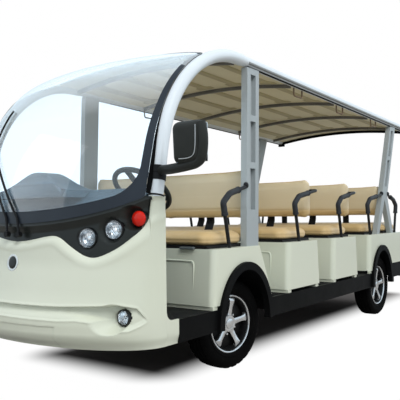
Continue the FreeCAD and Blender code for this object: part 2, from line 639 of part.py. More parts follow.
def build_roof():
    half, camber = number("roof_side_y - rail_tube / 2 - fit_gap"), number("roof_camber")
    thickness = number("roof_thickness")
    top, fall = number("glass_top_angle"), number("roof_rail_fall")
    rear = number("-overall_length / 2 + roof_rear_inset")
    lift = number("rail_tube / 2 - fit_gap")
    turns = [top + (90 + fall - top) * i / 4 for i in range(5)]
    stations = [arch_point(t, lift * (1 - i / 4)) for i, t in enumerate(turns)]
    stations[0] += Vector(-number("fit_gap"), 0, 0)
    wires = [roof_section(s, half, camber, thickness) for s in stations]
    front = Part.makeLoft(wires, True)
    back = Part.makeLoft([wires[-1], roof_section(Vector(rear, 0, rail_z(rear)), half, camber, thickness)],
                         True)
    node("roof_panel", shaped("roof", front.fuse(back)))
    ribs = []
    for i in range(int(number("rib_count"))):
        x = number("arch_centre_x") - i * number("rib_spacing")
        wire = roof_section(Vector(x, 0, rail_z(x) - number("rib_width") * math.tan(math.radians(fall))),
                            half, camber, number("rib_depth"), thickness + number("fit_gap"))
        ribs.append(Part.Face(wire).extrude(Vector(-number("rib_width"), 0, 0)))
    node("roof_ribs", shaped("ribs", Part.makeCompound(ribs)))
    trim = Part.Face(roof_section(Vector(rear - number("fit_gap"), 0, rail_z(rear)), half, camber,
                                  number("rear_trim_depth")))
    inset = number("roof_rear_inset - fit_gap")
    corner = Part.makeBox(inset, number("rear_corner_width"), rail_z(rear) + number("rail_tube / 2")
                          - number("rear_corner_bottom"), Vector(rear - inset - number("fit_gap"),
                          number("roof_side_y + rail_tube / 2 - rear_corner_width"),
                          number("rear_corner_bottom")))
    trim = trim.extrude(Vector(-inset, 0, 0)).fuse(across(corner)).removeSplitter()
    node("roof_rear_trim", shaped("rear_trim", trim))


def build_handles():
    """Loops that hang below the roof rails beside each row, to hold on to."""
    y = "(roof_side_y - handle_inset)"
    loops = []
    for x in ("second_box_x", "third_box_x", "rear_box_x"):
        front = number(f"{x} - handle_setback + handle_length / 2")
        rear = front - number("handle_length")
        low = rail_under(rear) - number("handle_drop")
        points = [(front, y, rail_under(front) + number("handle_radius")), (front, y, low),
                  (rear, y, low), (rear, y, rail_under(rear) + number("handle_radius"))]
        loops.append(tube(points, number("handle_radius"), 20))
    loops = [loop.cut(rail_keepout()) for loop in loops]
    node("roof_handles", shaped("handles", Part.makeCompound([s for t in loops for s in across(t).Solids])))


def rail_keepout():
    """The straight roof rail with its fit gap, to trim what hangs from it."""
    start, end = arch_point(90 + number("roof_rail_fall"), 0, number("roof_side_y")), number("-overall_length / 2")
    end = Vector(end, number("roof_side_y"), rail_z(end))
    return Part.makeCylinder(number("rail_tube / 2 + fit_gap"), (end - start).Length, start, end - start)


def pillar_pockets(top, count, middle):
    """Cutters for the shallow pockets down a pillar's outer face; middle gives their x at each z."""
    pockets = []
    for i in range(count):
        high = top - number("slot_bridge") - i * number("slot_height + slot_bridge")
        low = high - number("slot_height")
        half = number("slot_length / 2")
        spots = [(middle(high) + half, high), (middle(high) - half, high),
                 (middle(low) - half, low), (middle(low) + half, low)]
        pockets.append(prism(spots, "roof_side_y + pillar_width / 2 - pillar_pocket", "body_width"))
    return pockets


def build_pillars():
    """Front pillars are slotted bars; rear ones stand on two spread legs."""
    y0, y1 = "roof_side_y - pillar_width / 2", "roof_side_y + pillar_width / 2"
    foot, length, lean = number("pillar_foot_x"), number("pillar_length"), number("pillar_lean")
    base = number("box_top")
    top = rail_under(foot - lean - length / 2)
    corners = [(foot + length / 2, base), (foot - length / 2, base),
               (foot - lean - length / 2, top), (foot - lean + length / 2, top)]
    pockets = pillar_pockets(top, 3, lambda z: foot - lean * (z - base) / (top - base))
    node("pillars_front", shaped("front_pillars", across(prism(corners, y0, y1).cut(pockets))))

    head, neck = number("rear_pillar_head_x"), number("rear_pillar_neck_x")
    join_z, leg = number("rear_pillar_join_z"), number("rear_pillar_leg")
    front_foot, rear_foot = number("rear_pillar_front_foot_x"), number("rear_pillar_rear_foot_x")
    top = rail_under(head - length)
    corners = [(front_foot, base), (front_foot - leg, base), (neck - length / 2, join_z - leg / 2),
               (rear_foot + leg, base), (rear_foot, base), (neck - length, join_z),
               (head - length, top), (head, top), (neck, join_z)]
    pockets = pillar_pockets(top, 2, lambda z: neck - length / 2
                             + (head - neck) * (z - join_z) / (top - join_z))
    node("pillars_rear", shaped("rear_pillars", across(prism(corners, y0, y1).cut(pockets))))


# ---------------------------------------------------------------- seat boxes and benches
BOXES = {
    # name: (front of the top, depth of the top, how much longer the bottom is behind)
    "front": ("front_box_x", "front_box_depth", "front_box_tail"),
    "second": ("second_box_x", "box_depth", "box_flare"),
    "third": ("third_box_x", "box_depth", "box_flare"),
    "rear": ("rear_box_x", "rear_box_depth", "rear_box_tail"),
}


def build_seat_boxes():
    wheels = [oval_bar(axle, f"{w} + flare_width + fit_gap", f"{h} + flare_width + fit_gap",
                       f"-{SIDE} - 1", f"{SIDE} + 1")
              for axle, w, h in ((FRONT_AXLE, "arch_half_width", "arch_height"),
                                 (REAR_AXLE, "rear_arch_half_width", "rear_arch_height"))]
    middle = block("-overall_length", "overall_length", f"-{SIDE} + sill_thickness + fit_gap",
                   f"{SIDE} - sill_thickness - fit_gap", "0", "overall_length")
    tail_skirt = block("-overall_length", REAR_AXLE, f"{SIDE} - sill_thickness - fit_gap", "body_width",
                       "0", "tail_sill_top + fit_gap")
    openings = [w.cut(middle) for w in wheels]
    wells = [across(wheel_space(FRONT_AXLE, WELL_INSIDE, WELL_RADIUS, "well_thickness + fit_gap")),
             across(wheel_space(REAR_AXLE, REAR_WELL_INSIDE, WELL_RADIUS, "well_thickness + fit_gap"))]
    for name, (x, depth, tail) in BOXES.items():
        outer = prism([(f"{x} + box_flare", BOX_BOTTOM), (x, "box_top"), (f"{x} - {depth}", "box_top"),
                       (f"{x} - {depth} - {tail}", BOX_BOTTOM)], f"-{SIDE}", SIDE)
        uprights = [e for e in outer.Edges
                    if e.BoundBox.ZLength > 100 and e.BoundBox.XMin > number(f"{x} - 1")]
        outer = outer.makeFillet(number("box_corner_radius"), uprights)
        wall = "panel_thickness"
        inner = prism([(f"{x} + box_flare - {wall}", BOX_BOTTOM), (f"{x} - {wall}", f"box_top - {wall}"),
                       (f"{x} - {depth} + {wall}", f"box_top - {wall}"),
                       (f"{x} - {depth} - {tail} + {wall}", BOX_BOTTOM)],
                      f"-{SIDE} + {wall}", f"{SIDE} - {wall}")
        uprights = [e for e in inner.Edges
                    if e.BoundBox.ZLength > 100 and e.BoundBox.XMin > number(f"{x} - {wall} - 1")]
        inner = inner.makeFillet(number(f"box_corner_radius - {wall}"), uprights)
        feet = []
        for near in (f"{x} + box_flare - foot_inset - foot_length", f"{x} - {depth} - {tail} + foot_inset"):
            feet.append(block(near, f"{near} + foot_length", f"-{SIDE} + foot_inset", f"{SIDE} - foot_inset",
                              "floor_height", BOX_BOTTOM))
        shell = outer.cut(inner).fuse(feet).cut(openings + wells + [across(tail_skirt)])
        node(f"seat_box_{name}", shaped(f"{name}_box", shell.removeSplitter()))


BENCHES = {
    # name: (front of the seat, its depth on the box, cushion depth, top of the back)
    "driver": ("front_box_x", "front_box_depth", "cushion_depth", "front_backrest_top"),
    "second": ("second_box_x", "box_depth", "cushion_depth", "backrest_top"),
    "third": ("third_box_x", "box_depth", "cushion_depth", "backrest_top"),
    "fourth": ("rear_box_x", "(rear_seat_depth - back_overhang)", "rear_cushion_depth", "backrest_top"),
}


def backrest_x(name):
    """The middle of a bench's backrest, front to back."""
    front, depth = BENCHES[name][:2]
    return f"({front} - {depth} - back_overhang)"


LAST_BACK = f"({backrest_x('fourth')} - backrest_thickness - stem_thickness - 2 * fit_gap)"


def build_benches():
    steel, cushions, backs = [], [], []
    half = "cushion_width / 2"
    rows = [(name, values[0], 1, values[2], backrest_x(name), values[3]) for name, values in BENCHES.items()]
    rows.append(("last", "(rear_box_x - rear_box_depth)", -1, "rear_cushion_depth", LAST_BACK, "backrest_top"))
    for name, front, way, depth, back, top in rows:
        ends = (f"{front} - {way} * cushion_inset", f"{front} - {way} * (cushion_inset + {depth})")
        ends = ends[::-way]
        steel.append(box(f"pan_{name}", ends, (f"-{half}", half), ("box_top", PAN_TOP)))
        soft = box(f"cushion_{name}", ends, (f"-{half}", half), (f"{PAN_TOP} + fit_gap", CUSHION_TOP))
        cushions.append(rounded(f"cushion_{name}_rounded", soft, "cushion_radius"))
        rest = box(f"backrest_{name}", (f"{back} - backrest_thickness / 2", f"{back} + backrest_thickness / 2"),
                   ("-backrest_width / 2", "backrest_width / 2"), ("backrest_bottom", top))
        backs.append(rounded(f"backrest_{name}_rounded", rest, "cushion_radius"))
        if way < 0:
            continue
        face = f"{back} - backrest_thickness / 2 - fit_gap"
        base = f"{front} - {BENCHES[name][1]} + stem_base_inset"
        if name == "fourth":
            base = face
        bar = [(base, "box_top"), (face, "backrest_bottom - stem_base"), (face, "stem_top"),
               (f"{face} - stem_thickness", "stem_top"),
               (f"{face} - stem_thickness", "backrest_bottom - 2 * stem_base"),
               (f"{base} - stem_thickness", "box_top")]
        for side, y in (("left", "stem_spacing / 2"), ("right", "-stem_spacing / 2")):
            stem = prism(bar, f"{y} - stem_width / 2", f"{y} + stem_width / 2")
            steel.append(shaped(f"stem_{name}_{side}", stem))
    node("seat_frames", gather("bench_steel", *steel))
    node("seat_cushions", gather("cushions", *cushions))
    node("seat_backrests", gather("backrests", *backs))


def build_grab_rails():
    """Bent tubes beside the benches: up from the box, then back to a pillar or a backrest."""
    y = "(roof_side_y + grab_outset)"
    beside = "(backrest_width / 2 + fit_gap)"
    pillar = "(pillar_foot_x + pillar_length / 2 - pillar_lean / 3 + grab_end_gap)"
    rails = []
    for base, end, way, hook in (
            ("front_box_x - grab_setback", pillar, 1, None),
            ("second_box_x - grab_setback", backrest_x("second"), 1, beside),
            ("third_box_x - grab_setback", backrest_x("third"), 1, beside),
            ("rear_box_x - grab_rear_setback", "rear_pillar_neck_x + grab_end_gap", 1, None),
            ("rear_pillar_rear_foot_x - grab_rear_setback", "rear_pillar_neck_x - pillar_length - 2 * grab_end_gap", -1, None)):
        knee = f"{base} + {way} * grab_rise"
        points = [(f"{base} - {way} * grab_radius * grab_rise / (grab_knee_z - box_top)", y,
                   "box_top - grab_radius"), (knee, y, "grab_knee_z"),
                  (f"{knee} - {way} * grab_reach", y, "grab_arm_z")]
        if hook:
            points += [(end, y, "grab_end_z"), (end, hook, "grab_end_z")]
        else:
            points.append((end, y, "grab_end_z"))
        rails.append(tube(points, number("grab_radius"), number("grab_bend")))
    below = block("-overall_length", "overall_length", "0", "body_width", "0", "box_top + fit_gap")
    solids = [s for r in rails for s in across(r.cut(below)).Solids]
    node("grab_rails", shaped("grab_tubes", Part.makeCompound(solids)))


# ---------------------------------------------------------------- cab
# The rounded hump over the dials, seen from the seats: how far across, and how high.
HUMP_OUTLINE = [(-1, 0), (-0.72, 0.1), (-0.42, 0.5), (-0.16, 0.93), (0, 1), (0.2, 0.93), (0.5, 0.5),
                (0.8, 0.12), (1, 0)]


def build_cab():
    hull = nose_solid("panel_thickness + fit_gap", "0")
    rear, half = "dash_rear_x", "dash_half_width"
    flat = f"{rear} + dash_flat"
    front = f"({GLASS_FRONT_X} - dash_flat)"
    low = "(nose_top - 2 * panel_thickness)"
    slab = prism([(rear, "dash_bottom"), (f"{rear} - dash_lip / 2", "dash_top - dash_lip"), (rear, "dash_top"),
                  (flat, "dash_top"), (front, low), (front, "dash_bottom")], f"-{half}", half)
    above = block(rear, "nose_side_x + dash_flat", f"-{half}", half, "fascia_side_top - dash_lip", "dash_top")
    dash = slab.common(hull.fuse(above))
    bell = [Vector(0, number(f"hump_y + ({share}) * hump_half_width"), number(f"dash_top - 1 + ({rise}) * hump_height"))
            for share, rise in HUMP_OUTLINE]
    curve = Part.BSplineCurve()
    curve.interpolate(bell)
    sunk = Vector(0, 0, number("dash_lip"))
    foot = Part.makePolygon([bell[-1], bell[-1] - sunk, bell[0] - sunk, bell[0]])
    hump = Part.Face(Part.Wire([curve.toShape()] + foot.Edges))
    start = number(f"{rear} + hump_setback")
    hump.translate(Vector(start, 0, 0))
    hump = hump.extrude(Vector(number("hump_length + hump_front"), 0, 0))
    crest = f"{rear} + hump_setback + hump_length"
    lean = prism([(rear, "dash_top - dash_lip"), (f"{rear} + hump_setback", "dash_top"),
                  (f"{rear} + hump_setback + dash_lip", "dash_top + hump_height"),
                  (crest, "dash_top + hump_height"), (f"{crest} + hump_front", "dash_top - dash_front_drop")],
                 f"-{half}", half)
    dash = dash.fuse(hump.common(lean)).removeSplitter()
    dash = dash.cut([across(lamp_bar(pair, "fit_gap", "lamp_depth + fit_gap"))
                     for pair in ("main_lamp", "dip_lamp", "corner_lamp")])
    lean = math.radians(number("column_lean"))
    down = Vector(math.sin(lean), 0, -math.cos(lean))
    centre = Vector(number("wheel_centre_x"), number("wheel_centre_y"), number("wheel_centre_z"))
    start = centre + down * number("boss_depth / 2 + running_gap")
    bore = Part.makeCylinder(number("column_radius + fit_gap"), number("2 * column_length"), start, down)
    node("dashboard", shaped("dash", dash.cut(bore)))

    column = Part.makeCylinder(number("column_radius"), number("column_length"), start, down)
    hole = Part.makeCylinder(number("column_shaft_radius + shaft_gap"),
                             number("column_shaft_length + running_gap"), start, down)
    node("steering_column", shaped("column", column.cut(hole)))

    ring = Part.makeTorus(number("grip_ring_radius"), number("grip_radius"), centre, -down)
    boss = Part.makeCylinder(number("boss_radius"), number("boss_depth"),
                             centre + down * number("boss_depth / 2"), -down)
    shaft = Part.makeCylinder(number("column_shaft_radius"), number("column_shaft_length + boss_depth / 2"),
                              centre, down)
    spokes = []
    for angle in (0, 120, 240):
        spoke = Part.makeBox(number("grip_ring_radius"), 2 * number("grip_radius"), number("grip_radius"),
                             Vector(0, -number("grip_radius"), -number("grip_radius / 2")))
        spoke.rotate(Vector(0, 0, 0), Vector(0, 0, 1), angle)
        spoke.rotate(Vector(0, 0, 0), Vector(0, 1, 0), -number("column_lean"))
        spoke.translate(centre)
        spokes.append(spoke)
    node("steering_wheel", shaped("wheel_rim", ring.fuse([boss, shaft] + spokes).removeSplitter()))

    pedals = []
    for i, side in enumerate((-1, 1)):
        y = f"(wheel_centre_y + {side} * pedal_spacing / 2)"
        arm = block("pedal_x", "pedal_x + pedal_arm", f"{y} - pedal_arm / 2", f"{y} + pedal_arm / 2",
                    "pedal_z", "dash_bottom")
        plate = block("pedal_x - pedal_thickness", "pedal_x", f"{y} - pedal_width / 2",
                      f"{y} + pedal_width / 2", "pedal_z - pedal_height / 2", "pedal_z + pedal_height / 2")
        pedals.append(arm.fuse(plate).removeSplitter())
    node("pedals", shaped("pedal_pair", Part.makeCompound(pedals)))

    y = "(dash_half_width + fit_gap)"
    post = box("post", ("post_x", "post_x + post_width"), (y, f"{y} + post_width"),
               ("floor_height", "fascia_side_top - fit_gap"))
    node("front_posts", both_sides("posts", post))


def build_mirrors():
    """A mirror housing each side, on a thick arm that sweeps out from a clamp round the arch."""
    housing = block("mirror_x", "mirror_x + mirror_depth", "mirror_inner_y", "mirror_inner_y + mirror_width",
                    "mirror_bottom", "mirror_bottom + mirror_height")
    housing = housing.makeFillet(number("mirror_corner"), housing.Edges)

    def leg(z):
        lean = number("arch_lean")
        below = (arch_point(lean).z - z) / math.cos(math.radians(lean))
        return arch_point(lean, 0, number("roof_side_y"), below)

    low, high = leg(number("foot_sleeve_top - foot_sleeve")), leg(number("mirror_clamp_top"))
    clamp = Part.makeCylinder(number("foot_sleeve / 2"), (high - low).Length, low, high - low)
    bore = Part.makeCylinder(number("rail_tube / 2 + fit_gap"), 2 * (high - low).Length,
                             low - (high - low) * 0.5, high - low)
    radius = number("mirror_arm_radius")
    start = leg(number("mirror_arm_z"))
    x, outer = number("mirror_x + mirror_depth / 2"), number("mirror_inner_y + mirror_width")
    bottom = number("mirror_bottom")
    path = [start, Vector((start.x + x) / 2, (start.y + number("mirror_inner_y")) / 2, start.z),
            Vector(x, number("mirror_inner_y + mirror_width / 3"), bottom + number("mirror_arm_sag")),
            Vector(x, outer - radius, bottom + number("mirror_width / 3")),
            Vector(x, outer - radius, bottom + number("mirror_height / 1.6"))]
    arm = swept(path, radius)
    below = block("0", "overall_length", "0", "body_width", "0", "foot_sleeve_top + fit_gap")
    whole = housing.fuse([clamp, arm]).cut([bore, below]).removeSplitter()
    node("mirrors", shaped("mirror_pair", across(whole)))


# ---------------------------------------------------------------- drive, axles and steering
KNUCKLE_GAP = "((knuckle_height / 2) + running_gap)"


def build_axles():
    z, y = "tyre_radius", "(kingpin_spacing / 2)"
    low, high = f"{z} - front_beam_height", z
    web = f"({y} - knuckle_length - yoke_thickness)"
    beam = box("front_beam", (f"{FRONT_AXLE} - front_beam_width / 2", f"{FRONT_AXLE} + front_beam_width / 2"),
               (f"-{web}", web), (low, high))
    pieces = [beam]
    for side, sign in (("left", 1), ("right", -1)):
        ends = [f"{sign} * {web}", f"{sign} * ({web} + yoke_thickness)"][::sign]
        pieces.append(box(f"yoke_{side}", (f"{FRONT_AXLE} - lug_radius", f"{FRONT_AXLE} + lug_radius"), ends,
                          (f"{z} - {KNUCKLE_GAP} - lug_thickness", f"{z} + {KNUCKLE_GAP} + lug_thickness")))
        for spot, base in (("low", f"{z} - {KNUCKLE_GAP} - lug_thickness"), ("high", f"{z} + {KNUCKLE_GAP}")):
            inner = [f"{sign} * ({web} + yoke_thickness)", f"{sign} * {y}"][::sign]
            plate = box(f"lug_{side}_{spot}", (f"{FRONT_AXLE} - lug_radius", f"{FRONT_AXLE} + lug_radius"),
                        inner, (base, f"{base} + lug_thickness"))
            eye = cylinder(f"lug_end_{side}_{spot}", "lug_radius", "lug_thickness", FRONT_AXLE,
                           f"{sign} * {y}", base)
            pieces += [plate, eye]
    bores = [cylinder(f"kingpin_bore_{side}", "kingpin_radius + shaft_gap", "overall_length / 4", FRONT_AXLE,
                      f"{sign} * {y}", "0") for side, sign in (("left", 1), ("right", -1))]
    node("front_axle", cut("front_axle_beam", join("front_axle_weld", *pieces), *bores))

    half = "(rear_track / 2 - hub_reach - move_gap)"
    axle = cylinder("rear_axle_tube", "rear_axle_radius", f"2 * {half}", REAR_AXLE, f"-{half}", z, "Y")
    spindle = cylinder("rear_spindle", "spindle_radius", "rear_track + 2 * spindle_reach", REAR_AXLE,
                       "-(rear_track / 2 + spindle_reach)", z, "Y")
    case = cylinder("axle_case", "axle_case_radius", "axle_case_width", REAR_AXLE, "-axle_case_width / 2", z, "Y")
    node("rear_axle", join("rear_axle_weld", axle, spindle, case))
    node("drive_motor", cylinder("motor", "motor_radius", "motor_length",
                                 f"{REAR_AXLE} - axle_case_radius - running_gap - motor_length", "0", z, "X"))
    battery_y = "battery_width / 2"
    battery_x = "(second_box_x - box_depth / 2)"
    node("battery_pack", box("battery", (f"{battery_x} - battery_length / 2", f"{battery_x} + battery_length / 2"),
                             (f"-{battery_y}", battery_y), ("floor_height", "floor_height + battery_height")))

    springs = []
    top, arm, eye = number(RAIL_BOTTOM), number("spring_half_length"), number("spring_eye")
    thick = number("spring_thickness")
    for side in (-1, 1):
        y0 = f"{side} * rail_spacing / 2 - spring_width / 2"
        y1 = f"{side} * rail_spacing / 2 + spring_width / 2"
        x, seat = number(FRONT_AXLE), number("tyre_radius")
        springs.append(prism([(x - arm, top), (x - arm, top - thick), (x - arm + eye, top - thick),
                              (x - eye, seat), (x + eye, seat), (x + arm - eye, top - thick),
                              (x + arm, top - thick), (x + arm, top), (x + arm - eye, top),
                              (x + eye, seat + thick), (x - eye, seat + thick), (x - arm + eye, top)],
                             y0, y1))
        x, seat = number(REAR_AXLE), number("tyre_radius - rear_axle_radius - running_gap")
        springs.append(prism([(x - arm - eye, top), (x - arm, seat - thick), (x + arm, seat - thick),
                              (x + arm + eye, top), (x + arm, top), (x + arm - eye, seat),
                              (x - arm + eye, seat), (x - arm, top)], y0, y1))
    node("leaf_springs", shaped("springs", Part.makeCompound(springs)))


def on_kingpin(name, piece, side, x="0", y="0", z="tyre_radius", spin="0"):
    """Places a piece that was made about the kingpin, turned with the steering as it stands."""
    held = doc.addObject("Part::Compound", name)
    held.Links = [piece]
    held.Placement = Placement(Vector(0, 0, 0), Rotation(Vector(0, 0, 1), 1))
    held.setExpression("Placement.Rotation.Angle", formula(f"steer_angle + {spin}"))
    place(held, f"{FRONT_AXLE} + ({x}) * cos(steer_angle) - ({y}) * sin(steer_angle)",
          f"{side} * kingpin_spacing / 2 + ({x}) * sin(steer_angle) + ({y}) * cos(steer_angle)", z)
    return held


WHEEL_OUTSET = "((front_track - kingpin_spacing) / 2)"


def build_steering():
    arm_z = "(-steering_arm_drop - steering_arm_depth / 2)"
    hole = "(tie_rod_pin_radius + shaft_gap)"
    for side, sign in (("left", 1), ("right", -1)):
        block_half = [f"-knuckle_{d} / 2" for d in ("length", "width", "height")]
        body = box(f"knuckle_block_{side}", (block_half[0], "knuckle_length / 2"),
                   (block_half[1], "knuckle_width / 2"), (block_half[2], "knuckle_height / 2"))
        pin = cylinder(f"kingpin_{side}", "kingpin_radius", "knuckle_height + 2 * (running_gap + lug_thickness)",
                       "0", "0", "-knuckle_height / 2 - running_gap - lug_thickness")
        reach = f"({WHEEL_OUTSET} + spindle_reach)"
        spindle = cylinder(f"spindle_{side}", "spindle_radius", reach, "0", "0" if sign > 0 else f"-{reach}",
                           "0", "Y")
        arm = box(f"arm_{side}", ("-steering_arm_length", "0"),
                  ("-steering_arm_width / 2", "steering_arm_width / 2"),
                  (arm_z, f"{arm_z} + steering_arm_depth"))
        eye = cylinder(f"arm_end_{side}", "steering_arm_width / 2", "steering_arm_depth",
                       "-steering_arm_length", "0", arm_z)
        bore = cylinder(f"arm_bore_{side}", hole, "steering_arm_depth + 2", "-steering_arm_length", "0",
                        f"{arm_z} - 1")
        whole = cut(f"knuckle_{side}_piece", join(f"knuckle_{side}_weld", body, pin, spindle, arm, eye), bore)
        node(f"knuckle_{side}", on_kingpin(f"knuckle_{side}_placed", whole, sign))

    # The rod's left end turns on a pin in the left arm; its right end stands over the right arm.
    top = f"({arm_z} + steering_arm_depth + running_gap)"
    rod_z = f"({top} + tie_rod_eye_depth / 2)"
    rod = cylinder("rod", "tie_rod_radius", "kingpin_spacing", "0", "-kingpin_spacing", rod_z, "Y")
    pieces = [rod]
    for end, y in (("left", "0"), ("right", "-kingpin_spacing")):
        pieces.append(cylinder(f"rod_eye_{end}", "tie_rod_eye_radius", "tie_rod_eye_depth", "0", y, top))
        pieces.append(cylinder(f"rod_pin_{end}", "tie_rod_pin_radius",
                               "steering_arm_depth + running_gap + tie_rod_eye_depth / 2", "0", y, arm_z))
    weld = join("tie_rod_weld", *pieces)
    held = gather("tie_rod_placed", weld)
    place(held, f"{FRONT_AXLE} - steering_arm_length * cos(steer_angle)",
          "kingpin_spacing / 2 - steering_arm_length * sin(steer_angle)", "tyre_radius")
    node("tie_rod", held)


def build_wheels():
    half, rim_half = "(tyre_width / 2)", "(rim_width / 2)"
    bead = "(rim_radius + fit_gap)"
    lip = "(rim_radius + lip_height)"
    for end, front in (("front", True), ("rear", False)):
        for side, sign in (("left", 1), ("right", -1)):
            tag = f"{end}_{side}"
            outer = cylinder(f"tread_{tag}", "tyre_radius", "tyre_width", "0", f"-{half}", "0", "Y")
            doc.recompute()
            soft = doc.addObject("Part::Fillet", f"carcass_{tag}")
            soft.Base = outer
            soft.Edges = [(i + 1, number("tyre_shoulder"), number("tyre_shoulder"))
                          for i, e in enumerate(outer.Shape.Edges) if e.Length > number("tyre_radius * 6")]
            away = [cylinder(f"bead_bore_{tag}", bead, "tyre_width + 2", "0", f"-{half} - 1", "0", "Y")]
            for spot, y in (("in", f"-{half} - 1"), ("out", f"{rim_half} - lip_width - fit_gap")):
                away.append(cylinder(f"lip_room_{spot}_{tag}", f"{lip} + fit_gap",
                                     f"{half} + 1 - {rim_half} + lip_width + fit_gap", "0", y, "0", "Y"))
            grooves = []
            for i in range(-1, 2):
                y = f"{i} * groove_spacing - groove_width / 2"
                full = cylinder(f"groove_out_{i + 1}_{tag}", "tyre_radius + 1", "groove_width", "0", y, "0", "Y")
                core = cylinder(f"groove_in_{i + 1}_{tag}", "tyre_radius - groove_depth", "groove_width", "0", y,
                                "0", "Y")
                grooves.append(cut(f"groove_{i + 1}_{tag}", full, core))
            tyre = cut(f"tyre_{tag}_piece", soft, *away, *grooves)

            barrel = [cylinder(f"barrel_{tag}", "rim_radius", "rim_width", "0", f"-{rim_half}", "0", "Y")]
            for spot, y in (("in", f"-{rim_half}"), ("out", f"{rim_half} - lip_width")):
                barrel.append(cylinder(f"lip_{spot}_{tag}", lip, "lip_width", "0", y, "0", "Y"))
            inside = cylinder(f"barrel_bore_{tag}", "rim_radius - rim_wall", "rim_width + 2", "0",
                              f"-{rim_half} - 1", "0", "Y")
            ring = cut(f"barrel_ring_{tag}", join(f"barrel_solid_{tag}", *barrel), inside)
            face = f"({rim_half} - spoke_inset)"
            hub = cylinder(f"hub_{tag}", "wheel_hub_radius", f"{face} + hub_reach", "0", "-hub_reach", "0", "Y")
            spokes = []
            for i in range(int(number("spoke_count"))):
                spoke = box(f"spoke_{i}_{tag}", ("0", "rim_radius - rim_wall / 2"), ("0", "spoke_depth"),
                            ("-spoke_width / 2", "spoke_width / 2"))
                placed = gather(f"spoke_{i}_placed_{tag}", spoke)
                turn(placed, (0, 1, 0), f"{i} * 360 / spoke_count")
                place(placed, "0", f"{face} - spoke_depth", "0")
                spokes.append(placed)
            bore = cylinder(f"hub_bore_{tag}", "spindle_radius + shaft_gap", "hub_reach + spindle_reach + running_gap + 1",
                            "0", "-hub_reach - 1", "0", "Y")
            rim = cut(f"rim_{tag}_piece", join(f"rim_{tag}_weld", ring, hub, *spokes), bore)
            for kind, piece in (("tyre", tyre), ("rim", rim)):
                if front:
                    held = on_kingpin(f"{kind}_{tag}_placed", piece, sign, "0", f"{sign} * {WHEEL_OUTSET}",
                                      spin="0" if sign > 0 else "180")
                else:
                    held = gather(f"{kind}_{tag}_placed", piece)
                    if sign < 0:
                        turn(held, (0, 0, 1), "180")
                    place(held, REAR_AXLE, f"{sign} * rear_track / 2", "tyre_radius")
                node(f"{kind}_{tag}", held)


def build_tail():
    rear = "(-overall_length / 2)"
    lamps, recesses = [], []
    for side in (-1, 1):
        y = f"({side} * tail_lamp_y)"
        z = "((tail_sill_bottom + tail_sill_top) / 2)"
        for grow, made in (("0", lamps), ("fit_gap", recesses)):
            made.append(block(f"{rear} - ({grow}) * 2", f"{rear} + tail_lamp_depth + ({grow})",
                              f"{y} - tail_lamp_width / 2 - ({grow})", f"{y} + tail_lamp_width / 2 + ({grow})",
                              f"{z} - tail_lamp_height / 2 - ({grow})", f"{z} + tail_lamp_height / 2 + ({grow})"))
    bar = block(rear, f"{rear} + bumper_depth", f"-{SIDE}", SIDE, "tail_sill_bottom", "tail_sill_top")
    uprights = [e for e in bar.Edges if e.BoundBox.ZLength > 1 and e.BoundBox.XMax < number(f"{rear} + 1")]
    bar = bar.makeFillet(number("bumper_corner"), uprights)
    node("rear_bumper", shaped("bumper", bar.cut(recesses)))
    node("tail_lamps", shaped("tail_lamp_pair", Part.makeCompound(lamps)))


build_frame()
build_floor()
build_sills()
build_nose()
build_windscreen()
build_wiper()
build_roof_rails()
build_roof()
build_handles()
build_pillars()
build_seat_boxes()
build_benches()
build_grab_rails()
build_cab()
build_mirrors()
build_axles()
build_steering()
build_wheels()
build_tail()
doc.recompute()

# ---------------------------------------------------------------- checks and export
for item in doc.Objects:
    if "Invalid" in item.State or "Error" in item.State:
        raise RuntimeError(f"{item.Name} did not build")
for label, piece in NODES.items():
    if piece.Shape.isNull() or not piece.Shape.isValid():
        raise RuntimeError(f"{label} has no sound shape")

os.makedirs("parts", exist_ok=True)
for label, piece in NODES.items():
    piece.Shape.exportStep(f"parts/{label}.step")
print(len(NODES), "sub-parts")
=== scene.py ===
# An open-sided electric sightseeing minibus: cream body, silver arch and pillars, tan benches,
# black trim and small alloy wheels.  Lengths are in metres, +X is forward, +Y is the bus's left.
import math

import bpy
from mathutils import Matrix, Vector


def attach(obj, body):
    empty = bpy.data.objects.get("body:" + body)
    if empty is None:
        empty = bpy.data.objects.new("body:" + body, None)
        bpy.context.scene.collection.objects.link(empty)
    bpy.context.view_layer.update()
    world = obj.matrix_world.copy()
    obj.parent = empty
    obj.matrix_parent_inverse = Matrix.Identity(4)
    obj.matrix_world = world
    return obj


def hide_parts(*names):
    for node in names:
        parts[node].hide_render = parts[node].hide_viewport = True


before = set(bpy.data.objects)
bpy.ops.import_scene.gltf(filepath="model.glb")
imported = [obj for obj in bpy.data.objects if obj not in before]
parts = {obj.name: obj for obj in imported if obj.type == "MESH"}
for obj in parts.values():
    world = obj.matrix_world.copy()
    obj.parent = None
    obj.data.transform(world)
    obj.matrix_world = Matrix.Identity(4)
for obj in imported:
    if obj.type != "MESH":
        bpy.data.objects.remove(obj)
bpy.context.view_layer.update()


# ---------------------------------------------------------------- studio
# A plain pale floor under a white sky, and a camera at standing height off the bus's front left
# corner.  Two large soft lamps stand in front and to each side, and a third behind the bus.
scene = bpy.context.scene
scene.view_settings.view_transform = "Standard"


def deselect_all():
    """Leaves edit mode and clears the selection."""
    if bpy.context.object and bpy.context.object.mode != "OBJECT":
        bpy.ops.object.mode_set(mode="OBJECT")
    bpy.ops.object.select_all(action="DESELECT")


def grown(tree, kind, inputs=None, **settings):
    """A new shader node; each of its inputs takes a value or another node's output."""
    made = tree.nodes.new("ShaderNode" + kind)
    for key, value in settings.items():
        setattr(made, key, value)
    for key, value in (inputs or {}).items():
        if isinstance(value, bpy.types.NodeSocket):
            tree.links.new(value, made.inputs[key])
        else:
            made.inputs[key].default_value = value
    return made


